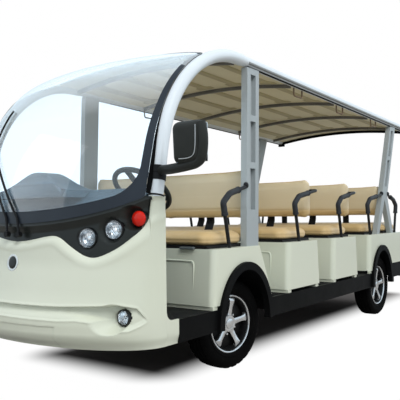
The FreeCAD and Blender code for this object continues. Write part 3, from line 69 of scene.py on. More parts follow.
deselect_all()
bpy.ops.object.camera_add(
    location=(4.163, 2.749, 0.957),
    rotation=(math.radians(91.4501), math.radians(0.7498), math.radians(126.499)),
)
camera = bpy.context.object
camera.name = "studio_camera"
camera.data.lens = 53.55
camera.data.sensor_width = 36
camera.data.clip_end = 200
scene.camera = camera

sky = bpy.data.worlds.new("studio_sky")
sky.use_nodes = True
scene.world = sky
tree = sky.node_tree
tree.nodes.clear()
ray = grown(tree, "LightPath").outputs
straight = grown(tree, "Math", {0: ray["Is Camera Ray"], 1: ray["Is Transmission Ray"]},
                 operation="MAXIMUM")
sharp = grown(tree, "Math", {0: straight.outputs[0], 1: ray["Is Glossy Ray"]}, operation="MAXIMUM")
tint = grown(tree, "MixRGB", {"Fac": ray["Is Glossy Ray"], "Color1": (1, 1, 1, 1),
                              "Color2": (0.76, 0.90, 1.0, 1)})
strong = grown(tree, "MapRange", {"Value": ray["Is Transmission Ray"], "To Min": 1.0, "To Max": 1.3})
soft = grown(tree, "Background", {"Color": (0.93, 0.96, 1.0, 1), "Strength": 0.56})
white = grown(tree, "Background", {"Color": tint.outputs[0], "Strength": strong.outputs[0]})
both = grown(tree, "MixShader", {0: sharp.outputs[0], 1: soft.outputs[0], 2: white.outputs[0]})
grown(tree, "OutputWorld", {"Surface": both.outputs[0]})

for lamp_name, spot, aim, power, across in (
    ("key_lamp", (3.9, 5.5, 7.2), (0.4, 0.2, 0.9), 530, 4.5),
    ("fill_lamp", (7.0, -5.0, 4.0), (0.8, 0, 0.8), 110, 5.0),
    ("rim_lamp", (-6.0, 3.5, 5.5), (-0.6, 0, 1.0), 160, 4.0),
):
    deselect_all()
    bpy.ops.object.light_add(type="AREA", location=spot)
    lamp = bpy.context.object
    lamp.name = lamp_name
    lamp.data.energy = power
    lamp.data.size = across
    lamp.visible_glossy = False
    lamp.rotation_mode = "QUATERNION"
    lamp.rotation_quaternion = (lamp.location - Vector(aim)).to_track_quat("Z", "Y")

# The floor glows white but for a painted shadow: a soft-edged patch under the bus where the glow
# fades out and the camera sees a darker matt tone than other rays do, with the real shadow on it.
SHADE_CENTRE, SHADE_HALF, SHADE_FADE = (-0.7, -0.1, 0), (2.05, 0.40, 0), 0.36
deselect_all()
bpy.ops.mesh.primitive_grid_add(x_subdivisions=4, y_subdivisions=4, size=60, location=(0, 0, 0))
floor = bpy.context.object
floor.name = "studio_floor"
floor_paint = bpy.data.materials.new("floor_paper")
floor_paint.use_nodes = True
tree = floor_paint.node_tree
tree.nodes.clear()
ray = grown(tree, "LightPath").outputs
seen = grown(tree, "Math", {0: ray["Is Camera Ray"], 1: ray["Is Transmission Ray"]},
             operation="MAXIMUM")
away = grown(tree, "TexCoord").outputs["Object"]
for operation, other in (("SUBTRACT", SHADE_CENTRE), ("ABSOLUTE", (0, 0, 0)), ("SUBTRACT", SHADE_HALF),
                         ("MAXIMUM", (0, 0, 0))):
    away = grown(tree, "VectorMath", {0: away, 1: other}, operation=operation).outputs[0]
away = grown(tree, "VectorMath", {0: away}, operation="LENGTH").outputs["Value"]
clear = grown(tree, "MapRange", {"Value": away, "From Max": SHADE_FADE, "To Max": 0.97},
              interpolation_type="SMOOTHSTEP")
share = grown(tree, "Math", {0: seen.outputs[0], 1: clear.outputs[0]}, operation="MULTIPLY")
tone = grown(tree, "MixRGB", {"Fac": seen.outputs[0], "Color1": (0.42, 0.41, 0.39, 1),
                              "Color2": (0.17, 0.16, 0.155, 1)})
matt = grown(tree, "BsdfDiffuse", {"Color": tone.outputs[0]})
glow = grown(tree, "Emission", {"Strength": 1.03})
both = grown(tree, "MixShader", {0: share.outputs[0], 1: matt.outputs[0], 2: glow.outputs[0]})
grown(tree, "OutputMaterial", {"Surface": both.outputs[0]})
floor.data.materials.append(floor_paint)


# ---------------------------------------------------------------- frame, axles and springs
# A welded ladder frame of box section, painted satin black, with leaf springs clamped to a
# forged front beam and a rear axle tube.  Road dust lies on what hangs low.
def by_height(finish, start, end, low=0.0, high=1.0):
    """A value that goes from low to high between two heights."""
    tree = finish.node_tree
    apart = grown(tree, "SeparateXYZ", {0: grown(tree, "TexCoord").outputs["Object"]})
    return grown(tree, "MapRange", {"Value": apart.outputs["Z"], "From Min": start, "From Max": end,
                                    "To Min": low, "To Max": high}).outputs[0]


def tinted(finish, share, colour):
    """Lays another colour over a finish's own, as far as share says."""
    tree = finish.node_tree
    base = tree.nodes["Principled BSDF"].inputs["Base Color"]
    mix = grown(tree, "MixRGB", {"Fac": share, "Color1": base.links[0].from_socket,
                                 "Color2": (*colour, 1)})
    tree.links.new(mix.outputs[0], base)


def material(name, tones, scale, rough, grain=None, gloss=None, dust=None, amount=1.0, cells=False,
             **more):
    """A finish whose colour wanders between two tones.  grain is a bump's scale, depth in metres
    and strength, gloss a roughness from, to and scale, and dust a colour, top and share."""
    finish = bpy.data.materials.new(name)
    finish.use_nodes = True
    tree = finish.node_tree
    shader = tree.nodes["Principled BSDF"].inputs
    shader["Roughness"].default_value = rough
    for key, value in more.items():
        shader[key.replace("_", " ").title().replace("Ior", "IOR")].default_value = value
    place = grown(tree, "TexCoord").outputs["Object"]
    cloud = grown(tree, "TexNoise", {"Vector": place, "Scale": scale, "Detail": 4})
    ramp = grown(tree, "ValToRGB", {0: cloud.outputs["Fac"]})
    for step, tone, position in zip(ramp.color_ramp.elements, tones, (-0.28, 0.28)):
        step.position = 0.5 + position * amount
        step.color = (*tone, 1)
    tree.links.new(ramp.outputs[0], shader["Base Color"])
    if dust:
        low_down = by_height(finish, dust[1], 0.05, 0, dust[2])
        cloud = grown(tree, "TexNoise", {"Vector": place, "Scale": 9, "Detail": 8})
        drift = grown(tree, "Math", {0: low_down, 1: cloud.outputs["Fac"]}, operation="MULTIPLY")
        tinted(finish, drift.outputs[0], dust[0])
    if grain:
        fine, depth, strength = (*grain, 0.5)[:3]
        if cells:
            height = grown(tree, "TexVoronoi", {"Vector": place, "Scale": fine}, feature="SMOOTH_F1")
        else:
            height = grown(tree, "TexNoise", {"Vector": place, "Scale": fine, "Detail": 6})
        bump = grown(tree, "Bump", {"Strength": strength, "Distance": depth,
                                    "Height": height.outputs["Distance" if cells else "Fac"]})
        tree.links.new(bump.outputs[0], shader["Normal"])
    if gloss:
        cloud = grown(tree, "TexNoise", {"Vector": place, "Scale": gloss[2], "Detail": 5})
        span = grown(tree, "MapRange", {"Value": cloud.outputs["Fac"], "To Min": gloss[0],
                                        "To Max": gloss[1]})
        tree.links.new(span.outputs[0], shader["Roughness"])
    return finish


def picked(piece):
    """Makes one piece the only selected and the active one."""
    deselect_all()
    piece.select_set(True)
    bpy.context.view_layer.objects.active = piece


def finish_nodes(finish, *names):
    """Gives CAD solids a material, and flat faces where they are flat."""
    for name in names:
        parts[name].data.materials.clear()
        parts[name].data.materials.append(finish)
        picked(parts[name])
        bpy.ops.object.shade_smooth_by_angle(angle=math.radians(32))


chassis_black = material("chassis_black_paint", ((0.006, 0.006, 0.007), (0.014, 0.0135, 0.0135)), 6, 0.5,
                        (700, 0.0002), (0.42, 0.62, 14), ((0.06, 0.052, 0.045), 0.35, 0.3),
                        specular_ior_level=0.15)
finish_nodes(chassis_black, "chassis_frame", "front_axle", "rear_axle", "leaf_springs", "front_posts",
             "seat_frames", "pedals", "steering_column")
cast_grey = material("cast_alloy", ((0.34, 0.35, 0.36), (0.48, 0.49, 0.5)), 30, 0.48, (420, 0.0004),
                     metallic=0.85)
finish_nodes(cast_grey, "drive_motor")
forged_steel = material("forged_steel", ((0.24, 0.24, 0.25), (0.42, 0.42, 0.43)), 40, 0.42, (500, 0.0002),
                       metallic=0.9)
finish_nodes(forged_steel, "knuckle_left", "knuckle_right", "tie_rod")
battery_black = material("battery_case", ((0.010, 0.010, 0.011), (0.02, 0.02, 0.021)), 10, 0.45,
                         (600, 0.0002), specular_ior_level=0.2)
finish_nodes(battery_black, "battery_pack")


# ---------------------------------------------------------------- floor deck, wells and skirts
# Ribbed black rubber matting on the deck, and moulded black plastic wells, skirts, wheel
# flares and rear step, with a fine grain and a little dust low down.
moulded_black = material("moulded_black_plastic",
                         ((0.0022, 0.0024, 0.0026), (0.0052, 0.0054, 0.0057)), 5, 0.55,
                        (900, 0.00025, 0.6), (0.36, 0.55, 12), ((0.018, 0.016, 0.013), 0.42, 0.3),
                        specular_ior_level=0.05)
finish_nodes(moulded_black, "wheel_wells", "side_sills", "arch_flares", "rear_bumper",
             "roof_rear_trim", "windscreen_header")

deck_rubber = material("deck_rubber", ((0.007, 0.007, 0.0075), (0.018, 0.0175, 0.017)), 7, 0.7,
                      specular_ior_level=0.15)
tree = deck_rubber.node_tree
ribs = grown(tree, "TexWave", {"Vector": grown(tree, "TexCoord").outputs["Object"], "Scale": 26},
             bands_direction="Y")
bump = grown(tree, "Bump", {"Height": ribs.outputs["Fac"], "Distance": 0.002})
tree.links.new(bump.outputs[0], tree.nodes["Principled BSDF"].inputs["Normal"])


# ---------------------------------------------------------------- bench boxes
# Glass-fibre mouldings in a pale cream-green gloss paint.  The nose is one shell, and each bench
# stands on its own open-bottomed box with a raised bead around its front.
cream = material("cream_paint", ((0.655, 0.70, 0.575), (0.68, 0.72, 0.605)), 2.2, 0.3,
                 (120, 0.0002, 0.15), (0.26, 0.36, 10), ((0.5, 0.48, 0.42), 0.5, 0.25),
                 coat_weight=0.55, coat_roughness=0.12)
finish_nodes(cream, "seat_box_front", "seat_box_second", "seat_box_third", "seat_box_rear")


# ---------------------------------------------------------------- nose shell
# The nose is one glass-fibre moulding in cream paint.  A crisp groove runs across it and widens
# round the bumper lamps, and a soft lip is rolled along the opening that the lamp mask closes.
def edited(piece, *steps):
    """Selects all of a piece in edit mode and runs each step on it."""
    picked(piece)
    bpy.ops.object.mode_set(mode="EDIT")
    bpy.ops.mesh.select_all(action="SELECT")
    for step in steps:
        step()
    bpy.ops.object.mode_set(mode="OBJECT")


def draped(name, columns, rows, shape):
    """A grid laid over a surface: shape takes a share across and a share up."""
    deselect_all()
    bpy.ops.mesh.primitive_grid_add(x_subdivisions=columns, y_subdivisions=rows, size=2)
    piece = bpy.context.object
    piece.name = name
    for corner in piece.data.vertices:
        corner.co = shape((corner.co.x + 1) / 2, (corner.co.y + 1) / 2)
    return piece


def facing(piece, way):
    """Turns an open sheet's faces so that they look along way."""
    if sum(face.normal.dot(Vector(way)) * face.area for face in piece.data.polygons) < 0:
        edited(piece, bpy.ops.mesh.flip_normals)


def outward(piece):
    """Merges doubled points and makes a closed shape's faces look out."""
    edited(piece, lambda: bpy.ops.mesh.remove_doubles(threshold=0.00005),
           lambda: bpy.ops.mesh.normals_make_consistent(inside=False))


def thickened(piece, way, thickness, offset=-1):
    """Turns an open sheet to look along way and gives it a thickness."""
    facing(piece, way)
    worked(piece, "SOLIDIFY", thickness=thickness, offset=offset)
    return piece


def worked(piece, kind, **settings):
    """Puts one modifier on a piece and applies it."""
    picked(piece)
    step = piece.modifiers.new(kind.lower(), kind)
    for key, value in settings.items():
        setattr(step, key, value)
    bpy.ops.object.modifier_apply(modifier=step.name)


def joined(name, *pieces):
    """Makes several meshes one piece."""
    picked(pieces[0])
    for piece in pieces:
        piece.select_set(True)
    if len(pieces) > 1:
        bpy.ops.object.join()
    pieces[0].name = name
    return pieces[0]


def finished(piece, finish, body="chassis", angle=35):
    """Gives a piece its material, its smooth shading and the body that it rides on."""
    piece.data.materials.clear()
    piece.data.materials.append(finish)
    picked(piece)
    bpy.ops.object.shade_smooth_by_angle(angle=math.radians(angle))
    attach(piece, body)
    return piece


def eased(value, start, end):
    """Goes smoothly from 0 at start to 1 at end."""
    share = min(max((value - start) / (end - start), 0), 1)
    return share * share * (3 - 2 * share)


def between(table, at):
    """Reads a value from a table of (place, value) rows."""
    if at <= table[0][0]:
        return table[0][1]
    for (left, low), (right, high) in zip(table, table[1:]):
        if at <= right:
            return low + (high - low) * (at - left) / (right - left)
    return table[-1][1]


NOSE_SIDE = 1.8
NOSE_HALF = 0.78
NOSE_REACH = 0.45
NOSE_FOOT = 0.283
NOSE_SETBACK = [(0.283, 0.112), (0.34, 0.005), (0.43, 0.0), (0.56, 0.05), (0.71, 0.088),
                (0.925, 0.108), (1.057, 0.118), (1.2, 0.13)]


def setback(z):
    """How far the nose stands back at this height, softened."""
    return sum(between(NOSE_SETBACK, z + step * 0.007) for step in range(-4, 5)) / 9


def nose_point(y, z, sunk=0.0):
    """A point of the nose, y across and z up, some distance under its outside."""
    across = min(abs(y) / NOSE_HALF, 1)
    reach = NOSE_REACH - setback(z)
    bow = math.sqrt(max(1 - across * across, 0))
    x = NOSE_SIDE + reach * bow
    side = math.copysign(reach * across / max(bow, 0.05), y)
    flat = math.hypot(1, side / NOSE_HALF)
    narrow = 1 - 0.0154 * eased(z, 0.34, NOSE_FOOT)
    return Vector((x - sunk / flat, (y - sunk * side / NOSE_HALF / flat) * narrow, z))


MASK_EDGE = [(0, 0.829), (0.07, 0.833), (0.14, 0.843), (0.21, 0.856), (0.282, 0.864), (0.33, 0.847),
             (0.37, 0.818), (0.42, 0.786), (0.47, 0.758), (0.516, 0.748), (0.56, 0.760), (0.612, 0.786),
             (0.65, 0.813), (0.684, 0.845), (0.722, 0.883), (0.742, 0.921), (0.750, 0.955),
             (0.7525, 0.99), (0.753, 1.056), (0.78, 1.057)]


def rounded_table(table, rounds=3):
    """The same line with more points and softer corners."""
    for _ in range(rounds):
        made = [table[0]]
        for (a, b), (c, d) in zip(table, table[1:]):
            made += [(0.75 * a + 0.25 * c, 0.75 * b + 0.25 * d), (0.25 * a + 0.75 * c, 0.25 * b + 0.75 * d)]
        table = made + [table[-1]]
    return table


def along_table(table):
    """A function that walks a line of points by its length, from 0 to 1."""
    lengths = [0.0]
    for (a, b), (c, d) in zip(table, table[1:]):
        lengths.append(lengths[-1] + math.hypot(c - a, d - b))
    spots = [(length / lengths[-1], index) for index, length in enumerate(lengths)]

    def walk(share):
        row = between([(s, float(i)) for s, i in spots], share)
        low = min(int(row), len(table) - 2)
        part = row - low
        return tuple(table[low][k] + (table[low + 1][k] - table[low][k]) * part for k in (0, 1))
    return walk


mask_line = rounded_table(MASK_EDGE[:-2]) + MASK_EDGE[-2:]
walk_mask = along_table(mask_line)
EDGE_STEPS, EDGE_WINDOW = 600, 60
mask_spots = [walk_mask(step / EDGE_STEPS) for step in range(EDGE_STEPS + 1)]

FOG_LAMP = (0.653, 0.447, 0.0425, 1.990)
GROOVE_TOP = [(0, 0.503), (0.365, 0.503), (0.5, 0.507), (0.66, 0.510), (0.72, 0.494), (0.755, 0.430),
              (0.78, 0.42)]
GROOVE_LOW = [(0, 0.441), (0.384, 0.436), (0.48, 0.440), (0.54, 0.433), (0.60, 0.405), (0.655, 0.384),
              (0.70, 0.386), (0.735, 0.408), (0.755, 0.428), (0.78, 0.42)]


LAMP_RECESS = [(0.38, 0.0), (0.44, 0.006), (0.50, 0.026), (0.56, 0.056), (0.60, 0.078), (0.625, 0.080),
               (0.653, 0.060), (0.68, 0.036), (0.70, 0.024), (0.72, 0.019), (0.74, 0.010), (0.757, 0.0)]


def nose_relief(y, z, lip):
    """How far the paint sinks under the plain nose here, along its normal and along the bus."""
    away = abs(y)
    top, low = between(GROOVE_TOP, away), between(GROOVE_LOW, away)
    sunk = back = 0.0
    if low - 0.006 < z < top + 0.006:
        fade = 1 - eased(away, 0.42, 0.56)
        share = (z - low) / max(top - low, 0.001)
        within = eased(z, top, top - 0.005) * eased(z, low, low + 0.006)
        sunk = fade * (0.006 + 0.016 * eased(share, 0.1, 0.8)) * within
        ramp = min(max((z - low) / 0.028, 0), 1)
        back = between(LAMP_RECESS, away) * eased(z, top + 0.002, top - 0.009) * ramp
    if z < top + 0.02:
        sunk -= 0.0032 * math.exp(-((z - top - 0.004) / 0.0065) ** 2) * (1 - eased(away, 0.72, 0.76))
    sunk -= 0.0028 * math.exp(-((z - low + 0.001) / 0.006) ** 2) * (1 - eased(away, 0.735, 0.76))
    if z < 0.408 and away < 0.40:
        taper = 0.25 * (0.404 - z)
        sunk += 0.0045 * eased(z, 0.407, 0.401) * (1 - eased(away, 0.362 - taper, 0.378 - taper))
    if lip < 0.1:
        sunk += 0.024 * max(0.0, 1 - lip / 0.036) ** 2 - 0.0015 * math.exp(-((lip - 0.044) / 0.014) ** 2)
    return sunk, back


def into_cup(place, centre, way, radius, slope, rim):
    """Presses a point back where it stands in front of a lamp, inside a cup with sloping walls."""
    ahead = (place - centre).dot(way)
    sideways = ((place - centre) - way * ahead).length
    limit = -0.008 + max(0.0, sideways - radius - rim) * slope
    if sideways < radius:
        limit = -0.062
    return place - way * (ahead - limit) if ahead > limit else place


def nose_shape(across, up):
    """The nose from its foot to the mask's edge, with its grooves and lamp cups."""
    side = 2 * across - 1
    y_top, z_top = walk_mask(abs(side))
    y_low = NOSE_HALF * (math.sin(abs(side) * math.pi / 2) * 0.45 + 0.55 * y_top / NOSE_HALF)
    if abs(side) > 0.9995:
        y_low = y_top = NOSE_HALF
    y = y_low + (y_top - y_low) * eased(up, 0, 1)
    z = NOSE_FOOT + (z_top - NOSE_FOOT) * up
    nearby = round(abs(side) * EDGE_STEPS)
    close = mask_spots[max(nearby - EDGE_WINDOW, 0):min(nearby + EDGE_WINDOW + 1, 570)]
    lip = min(math.hypot(y - a, z - b) for a, b in close)
    y = math.copysign(y, side)
    sunk, back = nose_relief(y, z, lip)
    place = nose_point(y, z, sunk) - Vector((back, 0, 0))
    seat = Vector((FOG_LAMP[3], math.copysign(FOG_LAMP[0], side), FOG_LAMP[1]))
    return into_cup(place, seat, Vector((1, 0, 0)), FOG_LAMP[2], 2.2, 0.003)


nose = thickened(draped("nose_shell", 270, 150, nose_shape), (1, 0, 0), 0.010)
tabs = []
for side in (-1, 1):
    def tab_shape(across, up, side=side):
        x = 1.7 + 0.1 * across
        lift = 0.048 - math.sqrt(0.048 ** 2 - max(0.0, x - 1.752) ** 2 * 0.998)
        inset = 0.012 * eased(NOSE_FOOT + 0.129 * up, 0.34, NOSE_FOOT)
        return Vector((x, side * (NOSE_HALF - inset), NOSE_FOOT + (0.129 + lift) * up))
    tab = thickened(draped("nose_tab", 16, 10, tab_shape), (0, side, 0), 0.010)
    tabs.append(tab)
nose = joined("nose_shell", nose, *tabs)
finished(nose, cream, angle=40)
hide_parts("front_fascia")


# ---------------------------------------------------------------- lamp mask
# A gloss black moulding let into the nose under the glass, a little lower than the cream lip,
# with a round cup pressed in for each lamp.
mask_black = material("mask_gloss_black", ((0.008, 0.010, 0.009), (0.016, 0.019, 0.017)), 4, 0.34,
                      (260, 0.0001, 0.2), specular_ior_level=0.3, coat_weight=0.12, coat_roughness=0.15)

LAMPS = {"main": (0.480, 0.847, 0.0535, 15, 0.012, 0.53), "dip": (0.606, 0.888, 0.052, 16, 0.020, 1.07),
         "corner": (0.703, 0.943, 0.0425, 10, 0.033, 2.06)}


def lamp_seat(kind, side):
    """Where a lamp's lens sits, and the way that it looks."""
    y, z, radius, turn, sunk, slope = LAMPS[kind]
    way = Vector((math.cos(math.radians(turn)), side * math.sin(math.radians(turn)), 0))
    return nose_point(side * y, z) - way * sunk, way, radius, slope


def seat_line(y):
    """How high the glass's foot stands here."""
    low, high = 0.9, 1.07
    for _ in range(24):
        z = (low + high) / 2
        x = nose_point(y, z).x
        if 0.925 + (2.142 - x) * 0.5581 > z:
            low = z
        else:
            high = z
    return min(low, 1.057)


mask_cut = [spot for spot in mask_spots if spot[0] <= 0.7531]


def mask_shape(across, up):
    """The mask from the nose's lip to the glass, with its lamp cups."""
    side = 2 * across - 1
    away = abs(side) * 0.758
    low = between(mask_cut, min(away, 0.7529)) - 0.010
    if away > 0.753:
        low = seat_line(0.753) - 0.02
    y = math.copysign(away, side)
    high = seat_line(away)
    z = low + (high - low) * up
    sunk = 0.019 - 0.016 * eased(z, high - 0.06, high - 0.014)
    sunk -= 0.003 * math.exp(-((z - high + 0.018) / 0.004) ** 2)
    place = nose_point(y, z, sunk)
    for kind in LAMPS:
        seat, way, radius, slope = lamp_seat(kind, math.copysign(1, side))
        if away < 0.747:
            place = into_cup(place, seat, way, radius, slope, 0.006)
    return place


mask = thickened(draped("lamp_mask_panel", 330, 70, mask_shape), (1, 0, 0), 0.006)
finished(mask, mask_black, angle=30)
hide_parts("lamp_mask")


# ---------------------------------------------------------------- head lamps
# Each lamp is a spun bowl with a bright lacquer, mottled light and dark as a painted reflection,
# a capped bulb, a dark ring, and a clear moulded cover; the corner pair have red covers, and the low
# pair sit in short dark tubes.
def turned(name, profile, place, way, steps=48, closed=True):
    """Rings grown one from another along an axis; each row is a radius and how far along it is."""
    deselect_all()
    radius, along = profile[0]
    bpy.ops.mesh.primitive_circle_add(vertices=steps, radius=radius, location=(0, 0, along))
    piece = bpy.context.object
    piece.name = name
    bpy.ops.object.mode_set(mode="EDIT")
    bpy.ops.mesh.select_all(action="SELECT")
    for next_radius, next_along in profile[1:]:
        bpy.ops.mesh.extrude_region_move(TRANSFORM_OT_translate={"value": (0, 0, next_along - along)})
        share = next_radius / radius
        bpy.ops.transform.resize(value=(share, share, 1), center_override=(0, 0, next_along))
        radius, along = next_radius, next_along
    if closed:
        bpy.ops.mesh.select_all(action="SELECT")
        bpy.ops.mesh.fill_holes(sides=0)
        bpy.ops.mesh.select_all(action="SELECT")
        bpy.ops.mesh.normals_make_consistent(inside=False)
    bpy.ops.object.mode_set(mode="OBJECT")
    piece.rotation_mode = "QUATERNION"
    piece.rotation_quaternion = Vector(way).to_track_quat("Z", "Y")
    piece.location = Vector(place) + Vector(way).normalized() * profile[0][1]
    picked(piece)
    bpy.ops.object.transform_apply(location=True, rotation=True, scale=True)
    return piece


lamp_red = material("red_lamp_lens", ((0.55, 0.010, 0.003), (0.72, 0.020, 0.008)), 50, 0.2,
                    specular_ior_level=0.3, coat_weight=0.2)
finish_nodes(lamp_red, "tail_lamps")
# The bowls' colour swings from dark to bright in cells: painted reflections of a fluted reflector.
bowl_painted_reflection = material("lamp_bowl_painted_reflection", ((0.25, 0.27, 0.29), (0.95, 0.97, 0.98)), 34, 0.12,
                       (160, 0.002, 0.6), amount=0.6, cells=True, metallic=1.0)
lamp_ring = material("lamp_ring_black", ((0.005, 0.006, 0.007), (0.013, 0.014, 0.015)), 20, 0.3,
                     specular_ior_level=0.4)
lamp_cover = material("lamp_cover_clear", ((0.97, 0.98, 0.99), (0.97, 0.98, 0.99)), 1, 0.03,
                      (60, 0.0006, 0.35), transmission_weight=1.0, ior=1.2)

bowls, rings, covers, reds = [], [], [], []
for side in (-1, 1):
    for kind in ("main", "dip", "fog"):
        if kind == "fog":
            radius = FOG_LAMP[2]
            way = Vector((1, 0, 0))
            seat = Vector((FOG_LAMP[3], side * FOG_LAMP[0], FOG_LAMP[1]))
            ring_wall = 0.008
        else:
            seat, way, radius, _ = lamp_seat(kind, side)
            ring_wall = 0.005
        lens = radius - ring_wall
        rings.append(turned("ring", [(radius, -0.055), (radius, -0.003), (radius - 0.001, 0.0),
                                     (lens + 0.0015, 0.002), (lens, 0.0), (lens, -0.006),
                                     (lens - 0.0005, -0.055)], seat, way))
        bowls.append(turned("bowl", [(lens - 0.0005, -0.002), (lens - 0.003, -0.006), (lens * 0.9, -0.016),
                                     (lens * 0.72, -0.028), (lens * 0.5, -0.037), (lens * 0.26, -0.041),
                                     (lens * 0.25, -0.022), (lens * 0.24, -0.014), (lens * 0.14, -0.010),
                                     (lens * 0.02, -0.009)], seat, way, closed=False))
        covers.append(turned("cover", [(lens - 0.0008, -0.002), (lens - 0.002, 0.0018), (lens * 0.86, 0.006),
                                       (lens * 0.6, 0.0095), (lens * 0.3, 0.0115), (lens * 0.02, 0.012),
                                       (lens * 0.018, 0.0095), (lens * 0.3, 0.009), (lens * 0.6, 0.007),
                                       (lens * 0.84, 0.0038), (lens - 0.0035, 0.0), (lens - 0.003, -0.002)],
                             seat, way, closed=False))
    seat, way, radius, _ = lamp_seat("corner", side)
    rings.append(turned("ring", [(radius, -0.04), (radius, -0.006), (radius - 0.0015, -0.004),
                                 (radius - 0.003, -0.006), (radius - 0.003, -0.04)], seat, way))
    reds.append(turned("red", [(radius - 0.0032, -0.035), (radius - 0.0032, 0.003),
                               (radius - 0.006, 0.007), (radius * 0.7, 0.0115), (radius * 0.35, 0.0145),
                               (radius * 0.02, 0.0155)], seat, way))
for bowl in bowls:
    facing(bowl, (1, 0, 0))
for cover in covers:
    outward(cover)
finished(joined("lamp_rings", *rings), lamp_ring)
bowl_piece = finished(joined("lamp_bowls", *bowls), bowl_painted_reflection)
worked(bowl_piece, "SOLIDIFY", thickness=0.0012, offset=-1)
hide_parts("front_lamps")
finished(joined("lamp_covers", *covers), lamp_cover)
red_piece = finished(joined("corner_lamp_covers", *reds), lamp_red)
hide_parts("corner_lamps")


# ---------------------------------------------------------------- nose badge
# A plain domed disc in a bright ring on the middle of the nose, with nothing on it.
badge_at = nose_point(0, 0.712)
badge_way = Vector((1, 0, 0.14)).normalized()
badge_ring = turned("badge_ring", [(0.046, -0.006), (0.046, 0.003), (0.044, 0.0045), (0.036, 0.0045),
                                   (0.034, 0.003), (0.034, -0.006)], badge_at, badge_way)
badge_disc = turned("badge_disc", [(0.0338, -0.005), (0.0338, 0.002), (0.031, 0.0035), (0.018, 0.0045),
                                   (0.001, 0.005)], badge_at, badge_way)
badge_bright = material("badge_bright", ((0.66, 0.68, 0.67), (0.8, 0.82, 0.81)), 30, 0.25, metallic=0.6)
finished(badge_ring, badge_bright)
finished(badge_disc, mask_black)
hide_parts("nose_badge")


# ---------------------------------------------------------------- windscreen
# One bowed pane of laminated glass, glued to the nose and between the arch legs, with a black
# printed border that is broad along the foot and rounds the lower corners.
ARCH_X, ARCH_Z, ARCH_RADIUS, ARCH_LEAN, RAIL_Y = 1.053, 1.190, 0.744, 10.5, 0.745
GLASS_HALF, GLASS_FRONT, GLASS_FOOT = 0.735, 2.142, 0.925


def arch_spot(angle, offset=0.0, y=0.0, below=0.0):
    """A place on the arch at an angle over its centre, or down its straight leg."""
    turn = math.radians(angle)
    reach = ARCH_RADIUS + offset
    return Vector((ARCH_X + reach * math.cos(turn) + below * math.sin(turn), y,
                   ARCH_Z + reach * math.sin(turn) - below * math.cos(turn)))


def glass_edge(share):
    """A place on the pane's side edge, from the foot up to the arch."""
    offset = 0.070 + (0.0393 - 0.070) * min(2 * share, 1)
    leg = (arch_spot(ARCH_LEAN, offset).z - 1.057) / math.cos(math.radians(ARCH_LEAN))
    along = share * (leg + ARCH_RADIUS * math.radians(64 - ARCH_LEAN))
    if along < leg:
        return arch_spot(ARCH_LEAN, offset, 0, leg - along)
    return arch_spot(ARCH_LEAN + math.degrees((along - leg) / ARCH_RADIUS), offset)


def glass_rise(y):
    """How far the foot of the pane bows forward here, from 0 to 1."""
    edge = math.sqrt(1 - (GLASS_HALF / NOSE_HALF) ** 2)
    return (math.sqrt(1 - (y / NOSE_HALF) ** 2) - edge) / (1 - edge)


def on_glass(share, y, stand=0.0):
    """A place on the windscreen's outside, or this far off it."""
    foot = glass_edge(0)
    first = Vector((GLASS_FRONT, 0, GLASS_FOOT)) - foot
    pitch = math.atan2(first.z, first.x)
    tilt = pitch + share * (math.pi / 2 - pitch)
    bow = (first.length + share * (0.058 - first.length)) * glass_rise(y) + stand
    return glass_edge(share) + Vector((bow * math.cos(tilt), y, bow * math.sin(tilt)))


glass = material("windscreen_glass", ((0.982, 0.990, 0.995), (0.990, 0.994, 0.998)), 1.5, 0.02, ior=1.03,
                 coat_weight=1.0, coat_ior=1.6, coat_roughness=0.02)
# Towards the top the pane turns pale blue-white and lets less through, so its lit colour paints in a
# reflection of the sky.
painted_sky_reflection_share = by_height(glass, 1.5, 1.87)
tinted(glass, painted_sky_reflection_share, (0.84, 0.92, 0.965))
tree = glass.node_tree
painted_sky_reflection_veil = grown(tree, "MapRange", {"Value": painted_sky_reflection_share, "To Min": 1.0, "To Max": 0.66})
tree.links.new(painted_sky_reflection_veil.outputs[0], tree.nodes["Principled BSDF"].inputs["Transmission Weight"])
finish_nodes(glass, "windscreen")

border_rows = []
BAND, CORNER, EDGE_LENGTH = 0.063, 0.1, 0.99
corner_y = GLASS_HALF - 0.034 - CORNER


def pane_length(y):
    """How long the pane is from its foot to its top here."""
    return EDGE_LENGTH + 0.55 * glass_rise(y)


for step in range(31):
    share = 1 - (1 - (BAND + CORNER) / EDGE_LENGTH) * step / 30
    border_rows.append(((GLASS_HALF, share), (GLASS_HALF - 0.022 - 0.012 * (1 - share), share)))
for step in range(1, 13):
    turn = math.radians(90) * step / 12
    y = corner_y + CORNER * math.cos(turn)
    high = BAND + CORNER - CORNER * math.sin(turn)
    inner = (y, high / pane_length(y))
    if step <= 6:
        border_rows.append(((GLASS_HALF, (BAND + CORNER) / EDGE_LENGTH * (1 - step / 6)), inner))
    else:
        border_rows.append(((GLASS_HALF - (GLASS_HALF - corner_y) * (step - 6) / 6, 0), inner))
for step in range(1, 25):
    y = corner_y * (1 - step / 24)
    border_rows.append(((y, 0), (y, BAND / pane_length(y))))
border_rows = border_rows + [((-a, b), (-c, d)) for (a, b), (c, d) in reversed(border_rows[:-1])]


def border_shape(across, up):
    """The printed band, from the pane's rim to the band's inner edge."""
    (a, b), (c, d) = border_rows[round(across * (len(border_rows) - 1))]
    return on_glass(b + (d - b) * up, min(max(a + (c - a) * up, -0.7345), 0.7345), 0.0026)


border_black = material("glass_border_black", ((0.010, 0.014, 0.021), (0.020, 0.027, 0.038)), 3, 0.4,
                        specular_ior_level=0.3, coat_weight=0.1, coat_roughness=0.2)
border = thickened(draped("windscreen_border", len(border_rows) - 1, 4, border_shape),
                   (1, 0, 0.3), 0.0011)
finished(border, border_black)


